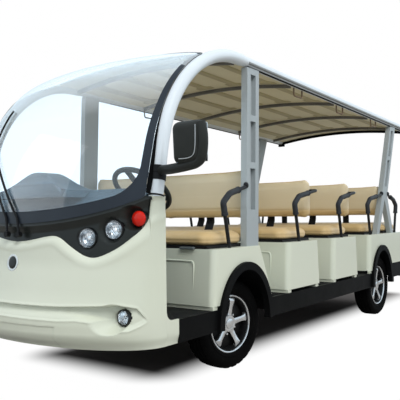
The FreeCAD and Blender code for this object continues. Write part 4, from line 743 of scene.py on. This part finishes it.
# A black rubber seal closes the gap between each side edge of the pane and the arch tube.
seals = []
for side in (-1, 1):
    def seal_shape(across, up, side=side):
        share = 0.02 + 0.975 * across
        edge = glass_edge(share)
        inward = Vector((ARCH_X, 0, ARCH_Z)) - edge
        if edge.z < ARCH_Z + 0.12:
            inward = Vector((-math.cos(math.radians(ARCH_LEAN)), 0, -math.sin(math.radians(ARCH_LEAN))))
        sunk = edge + inward.normalized() * 0.026 * up
        return sunk + Vector((0, side * (0.7352 + 0.010 * up), 0))
    seal = thickened(draped("seal", 60, 3, seal_shape), (0, side, 0.2), 0.003)
    seals.append(seal)
finished(joined("windscreen_seals", *seals), moulded_black)


def bead_shape(across, up):
    """A narrow strip along the top of the pane."""
    return on_glass(1 - 0.014 * up, -0.73 + 1.46 * across, 0.0016)


bead = thickened(draped("windscreen_top_bead", 60, 2, bead_shape), (1, 0, 1), 0.0014)
finished(bead, border_black)


# ---------------------------------------------------------------- wiper
# Two black-lacquered steel arms side by side lean to the right and hold one blade upright.
wiper_black = material("wiper_black", ((0.004, 0.004, 0.0045), (0.009, 0.009, 0.0095)), 40, 0.42,
                       (800, 0.0001), specular_ior_level=0.2)
finish_nodes(wiper_black, "wiper")


# ---------------------------------------------------------------- roof, arch and pillars
# Silver-lacquered aluminium: a bent tube each side from the nose over the cab and back along
# the roof, slotted pillars, and a moulded roof skin that is cream above, with a bright tan beneath
# that paints in the light shining through it.
silver = material("silver_lacquer", ((0.68, 0.74, 0.78), (0.74, 0.80, 0.84)), 3, 0.34, (500, 0.0001, 0.3),
                  (0.28, 0.42, 18), metallic=0.2)
finish_nodes(silver, "roof_rails")
pillar_silver = material("pillar_lacquer", ((0.345, 0.385, 0.395), (0.39, 0.43, 0.44)), 3, 0.42,
                         (500, 0.0001, 0.3), (0.36, 0.5, 18), metallic=0.2)
finish_nodes(pillar_silver, "pillars_front", "pillars_rear")

# Faces that look up are cream; the rest take a bright tan that paints in the light shining through the skin.
roof_skin = material("roof_skin", ((0.72, 0.67, 0.45), (0.80, 0.75, 0.53)), 3, 0.5, (150, 0.0006))
tree = roof_skin.node_tree
apart = grown(tree, "SeparateXYZ", {0: grown(tree, "NewGeometry").outputs["Normal"]})
upward = grown(tree, "Math", {0: apart.outputs["Z"], 1: 0.2}, operation="GREATER_THAN")
tinted(roof_skin, upward.outputs[0], (0.66, 0.70, 0.585))
finish_nodes(roof_skin, "roof_panel")
# The ribs are dark grey: painted shade where the doubled skin lets less light through.
rib_painted_shade = material("rib_painted_shade", ((0.11, 0.105, 0.095), (0.17, 0.165, 0.15)), 8, 0.5, (500, 0.0002))
finish_nodes(rib_painted_shade, "roof_ribs")


def under_roof(x, y):
    """The height of the roof skin's underside here."""
    hit, place, _, _ = parts["roof_panel"].ray_cast(Vector((x, y, 1.5)), Vector((0, 0, 1)))
    return place.z if hit else None


# Raised stiffening bands are pressed into the underside of the roof, between the cross bars, each
# with a wider pad where it meets a bar.
# The bands take a darker tan than the skin: painted shade where the doubled skin lets less light through.
band_painted_shade = material("liner_band_painted_shade", ((0.42, 0.37, 0.20), (0.52, 0.47, 0.28)), 9, 0.55, (200, 0.0005))
bands = []
for front in (1.053, 0.293, -0.467, -1.227):
    for centre in (-0.56, -0.28, 0.0, 0.28, 0.56):
        def band_shape(across, up, front=front, centre=centre):
            x = front - 0.035 - 0.69 * across
            pad = max(1 - eased(across, 0.09, 0.11), eased(across, 0.89, 0.91))
            y = centre + (up - 0.5) * (0.075 + 0.075 * pad)
            edge = eased(up, 0, 0.12) * (1 - eased(up, 0.88, 1))
            edge *= eased(across, 0, 0.015) * (1 - eased(across, 0.985, 1))
            return Vector((x, y, under_roof(x, y) - 0.0012 - 0.0065 * edge))
        bands.append(draped("band", 48, 10, band_shape))
for band in bands:
    facing(band, (0, 0, -1))
finished(joined("roof_liner_bands", *bands), band_painted_shade)

handle_brown = material("handle_brown", ((0.13, 0.08, 0.04), (0.2, 0.13, 0.07)), 30, 0.45, (400, 0.0002))
finish_nodes(handle_brown, "roof_handles")


def bent_tube(name, points, radius, order=3, taper=False, last=1.0):
    """A round tube along a smooth line that its points pull on, which may thin at its ends."""
    line = bpy.data.curves.new(name, "CURVE")
    line.dimensions = "3D"
    line.bevel_depth = radius
    line.bevel_resolution = 5
    line.resolution_u = 10
    line.use_fill_caps = True
    run = line.splines.new("NURBS")
    run.points.add(len(points) - 1)
    for spot, point in zip(run.points, points):
        spot.co = (*point, 1)
    if taper:
        run.points[0].radius = run.points[-1].radius = 0.1
        run.points[1].radius = run.points[-2].radius = 0.7
    run.points[-1].radius *= last
    run.order_u = order
    run.use_endpoint_u = True
    tube = bpy.data.objects.new(name, line)
    scene.collection.objects.link(tube)
    picked(tube)
    bpy.ops.object.convert(target="MESH")
    return bpy.context.object


# The arch is one tube, bent in a single sweep and drawn down a little where it meets the rails.
arch_covers = []
for side in (-1, 1):
    course = [arch_spot(ARCH_LEAN, 0, side * RAIL_Y, below) for below in (0.262, 0.2, 0.13, 0.06, 0.02)]
    course += [arch_spot(angle, 0, side * RAIL_Y) for angle in range(12, 93, 5)]
    crown = arch_spot(90, 0, side * RAIL_Y)
    course += [crown + Vector((-back, 0, -0.0297 * back)) for back in (0.04, 0.09)]
    arch_covers.append(bent_tube("arch_cover", course, 0.0385, last=0.84))
for cover in arch_covers:
    outward(cover)
finished(joined("arch_tubes", *arch_covers), silver, angle=60)


# ---------------------------------------------------------------- door mirrors
# Moulded dark-grey housings with a rounded, slightly tapered face, each on a thick tube that is
# clamped round the arch leg and sweeps under the housing and up its outer side.
def block(place, size):
    """A plain box about a place."""
    deselect_all()
    bpy.ops.mesh.primitive_cube_add(size=1, location=place, scale=size)
    bpy.ops.object.transform_apply(location=True, rotation=True, scale=True)
    return bpy.context.object


mirror_grey = material("mirror_grey", ((0.020, 0.022, 0.020), (0.032, 0.034, 0.032)), 8, 0.45,
                       (900, 0.0002, 0.6), specular_ior_level=0.15)
mirror_glass = material("mirror_glass", ((0.72, 0.75, 0.77), (0.78, 0.81, 0.83)), 5, 0.04, metallic=1.0)
housings, arms, clamps, panes, seams = [], [], [], [], []
for side in (-1, 1):
    middle = Vector((1.892, side * 1.01, 1.307))
    housing = block(middle, (0.084, 0.190, 0.220))
    for corner in housing.data.vertices:
        if corner.co.z < middle.z:
            corner.co.y = middle.y + (corner.co.y - middle.y) * 0.90
        if corner.co.x > middle.x:
            corner.co.y = middle.y + (corner.co.y - middle.y) * 0.93
            corner.co.z = middle.z + (corner.co.z - middle.z) * 0.93
    worked(housing, "BEVEL", width=0.0415, segments=8, limit_method="NONE", profile=0.55)
    housings.append(housing)
    arms.append(bent_tube("arm", [(1.8093, side * RAIL_Y, 1.192), (1.835, side * 0.80, 1.190),
                                  (1.868, side * 0.88, 1.188), (1.896, side * 0.985, 1.194),
                                  (1.900, side * 1.082, 1.208), (1.902, side * 1.100, 1.280),
                                  (1.902, side * 1.098, 1.360), (1.900, side * 1.084, 1.394)], 0.0255))
    low, high = (arch_spot(ARCH_LEAN, 0, side * RAIL_Y, below) for below in (0.1889, 0.1135))
    clamps.append(turned("clamp", [(0.0385, 0), (0.0412, 0.001), (0.0417, 0.004), (0.0417, 0.031),
                                   (0.0402, 0.033), (0.0402, 0.036), (0.0422, 0.038), (0.0427, 0.041),
                                   (0.0427, 0.072), (0.0407, 0.0745), (0.0385, 0.075)],
                         low, high - low, closed=False))
    seams.append(bent_tube("seam", [(1.9318, side * y, z) for y, z in (
        (0.975, 1.228), (1.020, 1.226), (1.062, 1.236), (1.074, 1.270), (1.076, 1.330),
        (1.076, 1.385))], 0.0022))
    low, high = (arch_spot(ARCH_LEAN, 0, side * RAIL_Y, below) for below in (0.2715, 0.2))
    clamps.append(turned("foot_ring", [(0.0385, 0.0), (0.0425, 0.001), (0.0432, 0.0035), (0.0425, 0.006),
                                       (0.0385, 0.007)], low, high - low, closed=False))
    pane = block((1.8515, side * 1.01, 1.309), (0.005, 0.160, 0.188))
    worked(pane, "BEVEL", width=0.0022, segments=3, limit_method="NONE")
    panes.append(pane)
housing_piece = finished(joined("mirror_housings", *housings), mirror_grey, angle=60)
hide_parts("mirrors")
finished(joined("mirror_arms", *arms), mirror_grey, angle=60)
clamp_piece = joined("mirror_clamps", *clamps)
worked(clamp_piece, "SOLIDIFY", thickness=0.001, offset=-1)
finished(clamp_piece, wiper_black)
finished(joined("mirror_panes", *panes), mirror_glass)
seam_silver = material("seam_silver", ((0.44, 0.46, 0.47), (0.56, 0.58, 0.59)), 40, 0.35, metallic=0.6)
finished(joined("mirror_seams", *seams), seam_silver)
finish_nodes(mirror_grey, "steering_wheel")


# ---------------------------------------------------------------- bench box mouldings
# A raised bead in the shape of a low arch stiffens the front of each box, and a small grey catch
# holds the lid of the front one.
beads = []
for node, front in (("seat_box_front", 1.363), ("seat_box_second", 0.458), ("seat_box_third", -0.300),
                    ("seat_box_rear", -1.082)):
    spots = []
    for y, z in ((-0.632, 0.520), (-0.632, 0.60), (-0.632, 0.655), (-0.628, 0.683), (-0.60, 0.687),
                 (-0.3, 0.688), (0, 0.688), (0.3, 0.688), (0.60, 0.687), (0.628, 0.683), (0.632, 0.655),
                 (0.632, 0.60), (0.632, 0.520)):
        hit, place, _, _ = parts[node].ray_cast(Vector((front + 0.2, y, z)), Vector((-1, 0, 0)))
        spots.append(place + Vector((0.0005, 0, 0)))
    beads.append(bent_tube("bead", spots, 0.0055, taper=True))
finished(joined("box_beads", *beads), cream, angle=60)
catch_grey = material("catch_grey", ((0.08, 0.10, 0.105), (0.13, 0.15, 0.155)), 40, 0.45)
catch = block((1.370, 0.585, 0.762), (0.022, 0.105, 0.016))
catch.name = "box_catch"
worked(catch, "BEVEL", width=0.005, segments=4, limit_method="NONE")
finished(catch, catch_grey)

# A grey channel is let into each roof rail for the side curtain, over a black strip that is
# painted shade in the gap beneath the channel.
channels, gap_shade_strips = [], []
for side in (-1, 1):
    for made, radius, out, down in ((channels, 0.0095, 0.0285, -0.013), (gap_shade_strips, 0.0055, 0.0155, -0.0335)):
        made.append(bent_tube("strip", [(x, side * (RAIL_Y + out), 1.9343 - 0.02968 * (1.053 - x) + down)
                                        for x in (0.95, 0.9, 0.5, 0, -0.5, -1, -1.5, -2.0, -2.2)], radius))
channel_grey = material("channel_grey", ((0.19, 0.205, 0.205), (0.26, 0.275, 0.275)), 14, 0.5)
finished(joined("rail_channels", *channels), channel_grey, angle=60)
finished(joined("rail_gap_painted_shade", *gap_shade_strips), moulded_black, angle=60)


# ---------------------------------------------------------------- dashboard
# A soft blue-grey moulding that slopes down to the glass, with one smooth hump over the gauges.
dash_grey = material("dash_blue_grey", ((0.031, 0.071, 0.104), (0.043, 0.090, 0.128)), 4, 0.6,
                     (700, 0.0003))


def pocketed(node, name, cutters):
    """A copy of a CAD solid with room cut in it for what stands in front."""
    piece = bpy.data.objects.new(name, parts[node].data.copy())
    scene.collection.objects.link(piece)
    outward(piece)
    for cutter in cutters:
        worked(piece, "BOOLEAN", object=cutter, operation="DIFFERENCE", solver="EXACT")
        bpy.data.objects.remove(cutter)
    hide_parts(node)
    return piece


lamp_room = []
for side in (-1, 1):
    for kind in LAMPS:
        seat, way, radius, _ = lamp_seat(kind, side)
        wall = radius + 0.05
        lamp_room.append(turned("room", [(wall, -0.08), (wall, 0.15)], seat, way, steps=32))
dash = pocketed("dashboard", "dash_moulding", lamp_room)
worked(dash, "BEVEL", width=0.006, segments=3, limit_method="ANGLE", angle_limit=math.radians(40))
finished(dash, dash_grey)
fog_room = [block((2.08, side * 0.60, 0.45), (0.42, 0.42, 0.14)) for side in (-1, 1)]
finished(pocketed("floor_deck", "deck_boards", fog_room), deck_rubber)


# ---------------------------------------------------------------- grab rails
# Black-painted steel tube, bolted to the bench boxes, pillars and backrests, with a padded vinyl
# sleeve over each upper bend and a ball nut at each end.
rail_black = material("grab_rail_black", ((0.005, 0.005, 0.006), (0.011, 0.011, 0.013)), 20, 0.34,
                      specular_ior_level=0.3)
sleeve_grey = material("grab_sleeve_grey", ((0.017, 0.019, 0.023), (0.032, 0.035, 0.040)), 25, 0.48,
                       (650, 0.0004), cells=True, specular_ior_level=0.3)
tubes, sleeves, knobs, bolts = [], [], [], []
for base, knee, reach, end, hook in (
        (1.191, 1.251, 1.181, 0.9905, None), (0.286, 0.346, 0.276, -0.007, 0.7115),
        (-0.472, -0.412, -0.482, -0.765, 0.7115), (-1.120, -1.060, -1.130, -1.442, None),
        (-1.777, -1.837, -1.767, -1.597, None)):
    for side in (-1, 1):
        y = side * 0.766
        foot, bend, arm = Vector((base, y, 0.759)), Vector((knee, y, 1.030)), Vector((reach, y, 1.085))
        last = Vector((end, y, 1.132))
        up, back, on = (bend - foot).normalized(), (arm - bend).normalized(), (last - arm).normalized()
        route = [foot, foot.lerp(bend, 0.5), bend - up * 0.034, bend, bend + back * 0.03,
                 arm - back * 0.02, arm, arm + on * 0.04, last]
        if hook:
            route = route[:-1] + [last - on * 0.03, last, Vector((end, y - side * 0.02, 1.132)),
                                  Vector((end, side * hook, 1.132))]
        tubes.append(bent_tube("tube", route, 0.0118))
        far = arm.lerp(last, 0.52)
        sleeves.append(bent_tube("sleeve", [bend - up * 0.075, bend - up * 0.034, bend, bend + back * 0.03,
                                            arm - back * 0.02, arm, arm + on * 0.04, far], 0.0195))
        sleeves.append(bent_tube("cuff", [bend - up * 0.079, bend - up * 0.065], 0.0215, order=2))
        sleeves.append(bent_tube("cuff", [far - on * 0.012, far + on * 0.002], 0.0215, order=2))
        if not hook:
            stand = Vector((end + (0.004 if end > -1.5 else -0.004), y, 1.126))
            knobs.append(turned("knob", [(0.002, -0.004), (0.012, -0.002), (0.0165, 0.006), (0.0175, 0.014),
                                         (0.0165, 0.022), (0.012, 0.030), (0.004, 0.034)],
                                stand, (0, 0, 1), steps=24))
        else:
            bolts.append(turned("bolt", [(0.010, -0.004), (0.010, 0.006), (0.008, 0.009), (0.003, 0.010)],
                                Vector((end, y - side * 0.002, 1.132)), (0, side, 0.001), steps=20))
for tube in tubes + sleeves:
    outward(tube)
tube_piece = finished(joined("grab_tubes", *tubes), rail_black, angle=60)
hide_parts("grab_rails")
finished(joined("grab_sleeves", *sleeves), sleeve_grey, angle=60)
finished(joined("grab_knobs", *knobs), rail_black, angle=60)
finished(joined("grab_bolts", *bolts), seam_silver)


# ---------------------------------------------------------------- bench cushions and backrests
# Foam blocks upholstered in tan vinyl, sewn with a seam round the sides and piping along the
# top of each backrest.  The vinyl is drawn tight, so the foam swells only between its seams.
vinyl = material("tan_vinyl", ((0.56, 0.395, 0.175), (0.65, 0.475, 0.235)), 3.5, 0.4, (420, 0.0005),
                 (0.34, 0.5, 6), cells=True, coat_weight=0.4, coat_roughness=0.3, sheen_weight=0.15)
# The backrests' vinyl turns paler towards their tops: a painted sheen of the white sky.
vinyl_painted_sheen = vinyl.copy()
vinyl_painted_sheen.name = "tan_vinyl_painted_sheen"
tinted(vinyl_painted_sheen, by_height(vinyl_painted_sheen, 0.975, 1.01), (0.66, 0.56, 0.37))


def loose_solids(node):
    """Copies of one CAD node's solids, each in an object of its own, from the front back."""
    whole = bpy.data.objects.new(node + "_copy", parts[node].data.copy())
    scene.collection.objects.link(whole)
    edited(whole, lambda: bpy.ops.mesh.remove_doubles(threshold=0.0001),
           lambda: bpy.ops.mesh.separate(type="LOOSE"))
    return sorted(bpy.context.selected_objects, key=lambda o: -max(v.co.x for v in o.data.vertices))


def limits(piece):
    """The lowest and highest of a mesh along each axis."""
    spots = [corner.co for corner in piece.data.vertices]
    return [(min(s[k] for s in spots), max(s[k] for s in spots)) for k in range(3)]


def round_corners(piece, radius, axes):
    """Draws a block's corners in, seen along its third axis."""
    spans = limits(piece)
    for corner in piece.data.vertices:
        middles = [sum(spans[k]) / 2 for k in axes]
        inner = [(spans[k][1] - spans[k][0]) / 2 - radius for k in axes]
        past = [max(abs(corner.co[k] - m) - r, 0) for k, m, r in zip(axes, middles, inner)]
        reach = math.hypot(*past)
        if reach > 1e-6 and min(past) > 0:
            share = max(past) / reach
            for k, m, r, over in zip(axes, middles, inner, past):
                corner.co[k] = m + math.copysign(r + over * share, corner.co[k] - m)


SWELL_FRAMES = 20


def fitted(piece, spans, flip=False):
    """Stretches a mesh to fill a box, end for end where it flips."""
    own = limits(piece)
    for corner in piece.data.vertices:
        for k in range(3):
            share = (corner.co[k] - own[k][0]) / (own[k][1] - own[k][0])
            if k == 0 and flip:
                share = 1 - share
            corner.co[k] = spans[k][0] + share * (spans[k][1] - spans[k][0])


def stuffed(piece, cap, seat):
    """Remeshes a slightly smaller copy finely and lets cloth swell over its filling."""
    spans = limits(piece)
    shrink = ((0.97, 0.99, 0.90) if seat else (0.90, 0.99, 0.97))
    for corner in piece.data.vertices:
        for k in range(3):
            middle = spans[k][0] if (k == 2 and seat) else sum(spans[k]) / 2
            corner.co[k] = middle + (corner.co[k] - middle) * shrink[k]
    worked(piece, "REMESH", mode="VOXEL", voxel_size=0.0105)
    round_corners(piece, 0.075 if seat else 0.045, (0, 1) if seat else (2, 1))
    worked(piece, "SMOOTH", factor=0.5, iterations=14 if seat else 4)
    before = [corner.co.copy() for corner in piece.data.vertices]
    cloth = piece.modifiers.new("stuffing", "CLOTH")
    cloth.settings.quality = 4
    cloth.settings.use_pressure = True
    cloth.settings.uniform_pressure_force = 4
    cloth.settings.effector_weights.gravity = 0
    cloth.settings.tension_stiffness = 25
    cloth.settings.compression_stiffness = 25
    cloth.point_cache.frame_start, cloth.point_cache.frame_end = 1, SWELL_FRAMES
    for step in range(1, SWELL_FRAMES + 1):
        scene.frame_set(step)
    swollen = piece.evaluated_get(bpy.context.evaluated_depsgraph_get()).to_mesh()
    after = [corner.co.copy() for corner in swollen.vertices]
    piece.modifiers.remove(cloth)
    scene.frame_set(1)
    for corner, was, now in zip(piece.data.vertices, before, after):
        move = now - was
        if move.length > cap:
            move = move.normalized() * cap
        if seat and was.z < spans[2][0] + 0.012:
            move.z = 0
        corner.co = was + move
    fitted(piece, spans)
    worked(piece, "SMOOTH", factor=0.5, iterations=3)
    worked(piece, "SUBSURF", levels=1, render_levels=1)


def fitted_copy(source, name, spans, flip=False):
    """A copy of a made cushion, brought to another bench's place and size."""
    piece = bpy.data.objects.new(name, source.data.copy())
    scene.collection.objects.link(piece)
    fitted(piece, spans, flip)
    if flip:
        edited(piece, bpy.ops.mesh.flip_normals)
    return piece


def sewn(piece, heights, depth, width):
    """Presses level seams into the cover, along its normals."""
    moves = []
    for corner in piece.data.vertices:
        push = max(depth * math.exp(-((corner.co.z - height) / width) ** 2) for height in heights)
        moves.append(corner.normal * -push)
    for corner, move in zip(piece.data.vertices, moves):
        corner.co += move


cushion_solids = loose_solids("seat_cushions")
backrest_solids = loose_solids("seat_backrests")
BENCHES = ("front", "second", "third", "fourth", "rear")
for kind, solids, seat, cap in (("cushion", cushion_solids, True, 0.022),
                                ("backrest", backrest_solids, False, 0.014)):
    spans = [limits(solid) for solid in solids]
    first = solids[0]
    stuffed(first, cap, seat)
    (x0, x1), (y0, y1), (z0, z1) = limits(first)
    if seat:
        sewn(first, [z0 + 0.030], 0.0025, 0.006)
    else:
        sewn(first, [z0 + 0.062], 0.0022, 0.006)
        sewn(first, [z1 - 0.085, z1 - 0.160], 0.0003, 0.005)
    made = [first]
    first.name = f"{kind}_front"
    for bench, box in zip(BENCHES[1:], spans[1:]):
        made.append(fitted_copy(first, f"{kind}_{bench}", box, flip=bench == "rear"))
    for solid in solids[1:]:
        bpy.data.objects.remove(solid)
    for piece in made:
        finished(piece, vinyl if seat else vinyl_painted_sheen, angle=60)
        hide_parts(f"seat_{kind}s")

# Piping is sewn round the top of each backrest, in the same vinyl over a cord.
piping = []
for bench in BENCHES:
    back = bpy.data.objects[f"backrest_{bench}"]
    (x0, x1), (y0, y1), (z0, z1) = limits(back)
    crest = (x0 + x1) / 2 + (-0.012 if bench == "rear" else 0.012)
    slices = []
    for step in range(25):
        y = y0 + 0.03 + (y1 - y0 - 0.06) * step / 24
        hit, place, _, _ = back.ray_cast(Vector((crest, y, z1 + 0.2)), Vector((0, 0, -1)))
        if hit:
            slices.append(place + Vector((0, 0, 0.0002)))
    piping.append(bent_tube("piping", slices, 0.0035))
finished(joined("backrest_piping", *piping), vinyl, angle=60)


# ---------------------------------------------------------------- wheels
# Small cast alloy wheels with five machined spokes that flare towards the rim, black pockets
# and a bright lip, on low tyres with four grooves and sipes cut across the shoulders.
tyre_black = material("tyre_rubber", ((0.0018, 0.0018, 0.0019), (0.0042, 0.0040, 0.0039)), 12, 0.75,
                      (300, 0.0005), (0.62, 0.82, 9), specular_ior_level=0.04)
alloy = material("machined_alloy", ((0.62, 0.63, 0.64), (0.80, 0.81, 0.82)), 25, 0.22, (900, 0.0001, 0.4),
                 metallic=0.9)
pocket_black = material("rim_pocket_black", ((0.003, 0.003, 0.0032), (0.008, 0.008, 0.0082)), 20, 0.45,
                        specular_ior_level=0.2)

TYRE_PROFILE = [(0.173, -0.060), (0.182, -0.066), (0.200, -0.071), (0.228, -0.0748), (0.246, -0.0735),
                (0.259, -0.068), (0.2685, -0.060), (0.2735, -0.0535), (0.2668, -0.0520), (0.2668, -0.0455),
                (0.2748, -0.0440), (0.2757, -0.0215), (0.2690, -0.0205), (0.2690, -0.0135), (0.2759, -0.0125)]
TYRE_PROFILE = TYRE_PROFILE + [(radius, -along) for radius, along in reversed(TYRE_PROFILE)]
TYRE_PROFILE[-3:-2] = [(0.206, 0.0722), (0.203, 0.0736), (0.198, 0.0736), (0.195, 0.0712)]
SPOKE_WIDTH = [(0.0, 0.042), (0.25, 0.034), (0.55, 0.031), (0.78, 0.038), (0.92, 0.052), (1.0, 0.058)]
SPOKE_HIGH = [(0.0, 0.052), (0.2, 0.051), (0.5, 0.0555), (0.74, 0.0605), (0.84, 0.0615), (0.93, 0.057),
              (1.0, 0.049)]


def wheel_pieces(corner, place, way):
    """One wheel about its centre, looking along way, and riding on its own body."""
    body = f"wheel_{corner}"
    tyre = turned(f"tyre_tread_{corner}", TYRE_PROFILE, place, way, steps=108, closed=False)
    axis = Vector(way).normalized()
    start = axis.orthogonal().normalized()
    square = axis.cross(start)
    for point in tyre.data.vertices:
        offset = point.co - place
        along = offset.dot(axis)
        flat = offset - axis * along
        turn = math.degrees(math.atan2(flat.dot(square), flat.dot(start))) % 360
        if flat.length > 0.262 and abs(along) > 0.04 and round(turn / 3.3333) % 4 == 0:
            point.co -= flat.normalized() * 0.0045
    outward(tyre)
    worked(tyre, "SOLIDIFY", thickness=0.008, offset=-1)
    finished(tyre, tyre_black, body, angle=28)
    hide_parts(f"tyre_{corner}")

    barrel = turned("barrel", [(0.1795, -0.0625), (0.172, -0.0655), (0.166, -0.060), (0.160, -0.045),
                               (0.150, -0.010), (0.152, 0.020), (0.159, 0.044), (0.1665, 0.057)],
                    place, way, steps=96, closed=False)
    disc = turned("disc", [(0.157, 0.014), (0.12, 0.022), (0.07, 0.028), (0.03, 0.030), (0.002, 0.030)],
                  place, way, steps=96, closed=False)
    thickened(barrel, axis, 0.006, 0)
    thickened(disc, axis, 0.006)
    pocket = finished(joined(f"rim_barrel_{corner}", barrel, disc), pocket_black, body)
    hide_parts(f"rim_{corner}")

    lip = turned("lip", [(0.1668, 0.0575), (0.1690, 0.0630), (0.1715, 0.0648), (0.1745, 0.0655),
                         (0.1790, 0.0630)], place, way, steps=96, closed=False)
    thickened(lip, axis, 0.004)
    shine = [lip]
    for step in range(5):
        turn = math.radians(90 + 72 * step)
        out = start * math.cos(turn) + square * math.sin(turn)
        side = axis.cross(out)

        def spoke_shape(across, up, out=out, side=side):
            half = between(SPOKE_WIDTH, up) / 2
            over = 2 * across - 1
            high = between(SPOKE_HIGH, up) - 0.003 * over * over
            return place + out * (0.036 + 0.1275 * up) + side * (half * over) + axis * high
        spoke = thickened(draped("spoke", 8, 26, spoke_shape), axis, 0.020)
        worked(spoke, "BEVEL", width=0.0018, segments=2, limit_method="ANGLE",
               angle_limit=math.radians(50))
        shine.append(spoke)
    shine.append(turned("hub", [(0.054, 0.026), (0.053, 0.049), (0.050, 0.0525), (0.036, 0.0535),
                                (0.0345, 0.0525), (0.033, 0.0525), (0.0315, 0.056), (0.024, 0.0585),
                                (0.002, 0.0595)], place, way, steps=60))
    finished(joined(f"rim_spokes_{corner}", *shine), alloy, body, angle=30)

    nuts = []
    for step in range(5):
        turn = math.radians(126 + 72 * step)
        out = start * math.cos(turn) + square * math.sin(turn)
        nuts.append(turned("nut", [(0.0085, 0.0), (0.0085, 0.010), (0.0065, 0.013), (0.0015, 0.014)],
                           place + out * 0.066 + axis * 0.028, way, steps=6))
    finished(joined(f"wheel_nuts_{corner}", *nuts), alloy, body, angle=20)


# The front wheels stand steered a little to the right, each about its own kingpin.
HUB_Z = 0.276
for axle, x, y, stub, toe in (("front", 1.035, 0.565, 0.05, 9), ("rear", -1.365, 0.673, 0, 0)):
    for name, side in (("left", 1), ("right", -1)):
        out = Vector((math.sin(math.radians(toe)), math.cos(math.radians(toe)), 0)) * side
        wheel_pieces(f"{axle}_{name}", Vector((x, side * y, HUB_Z)) + out * stub, out)
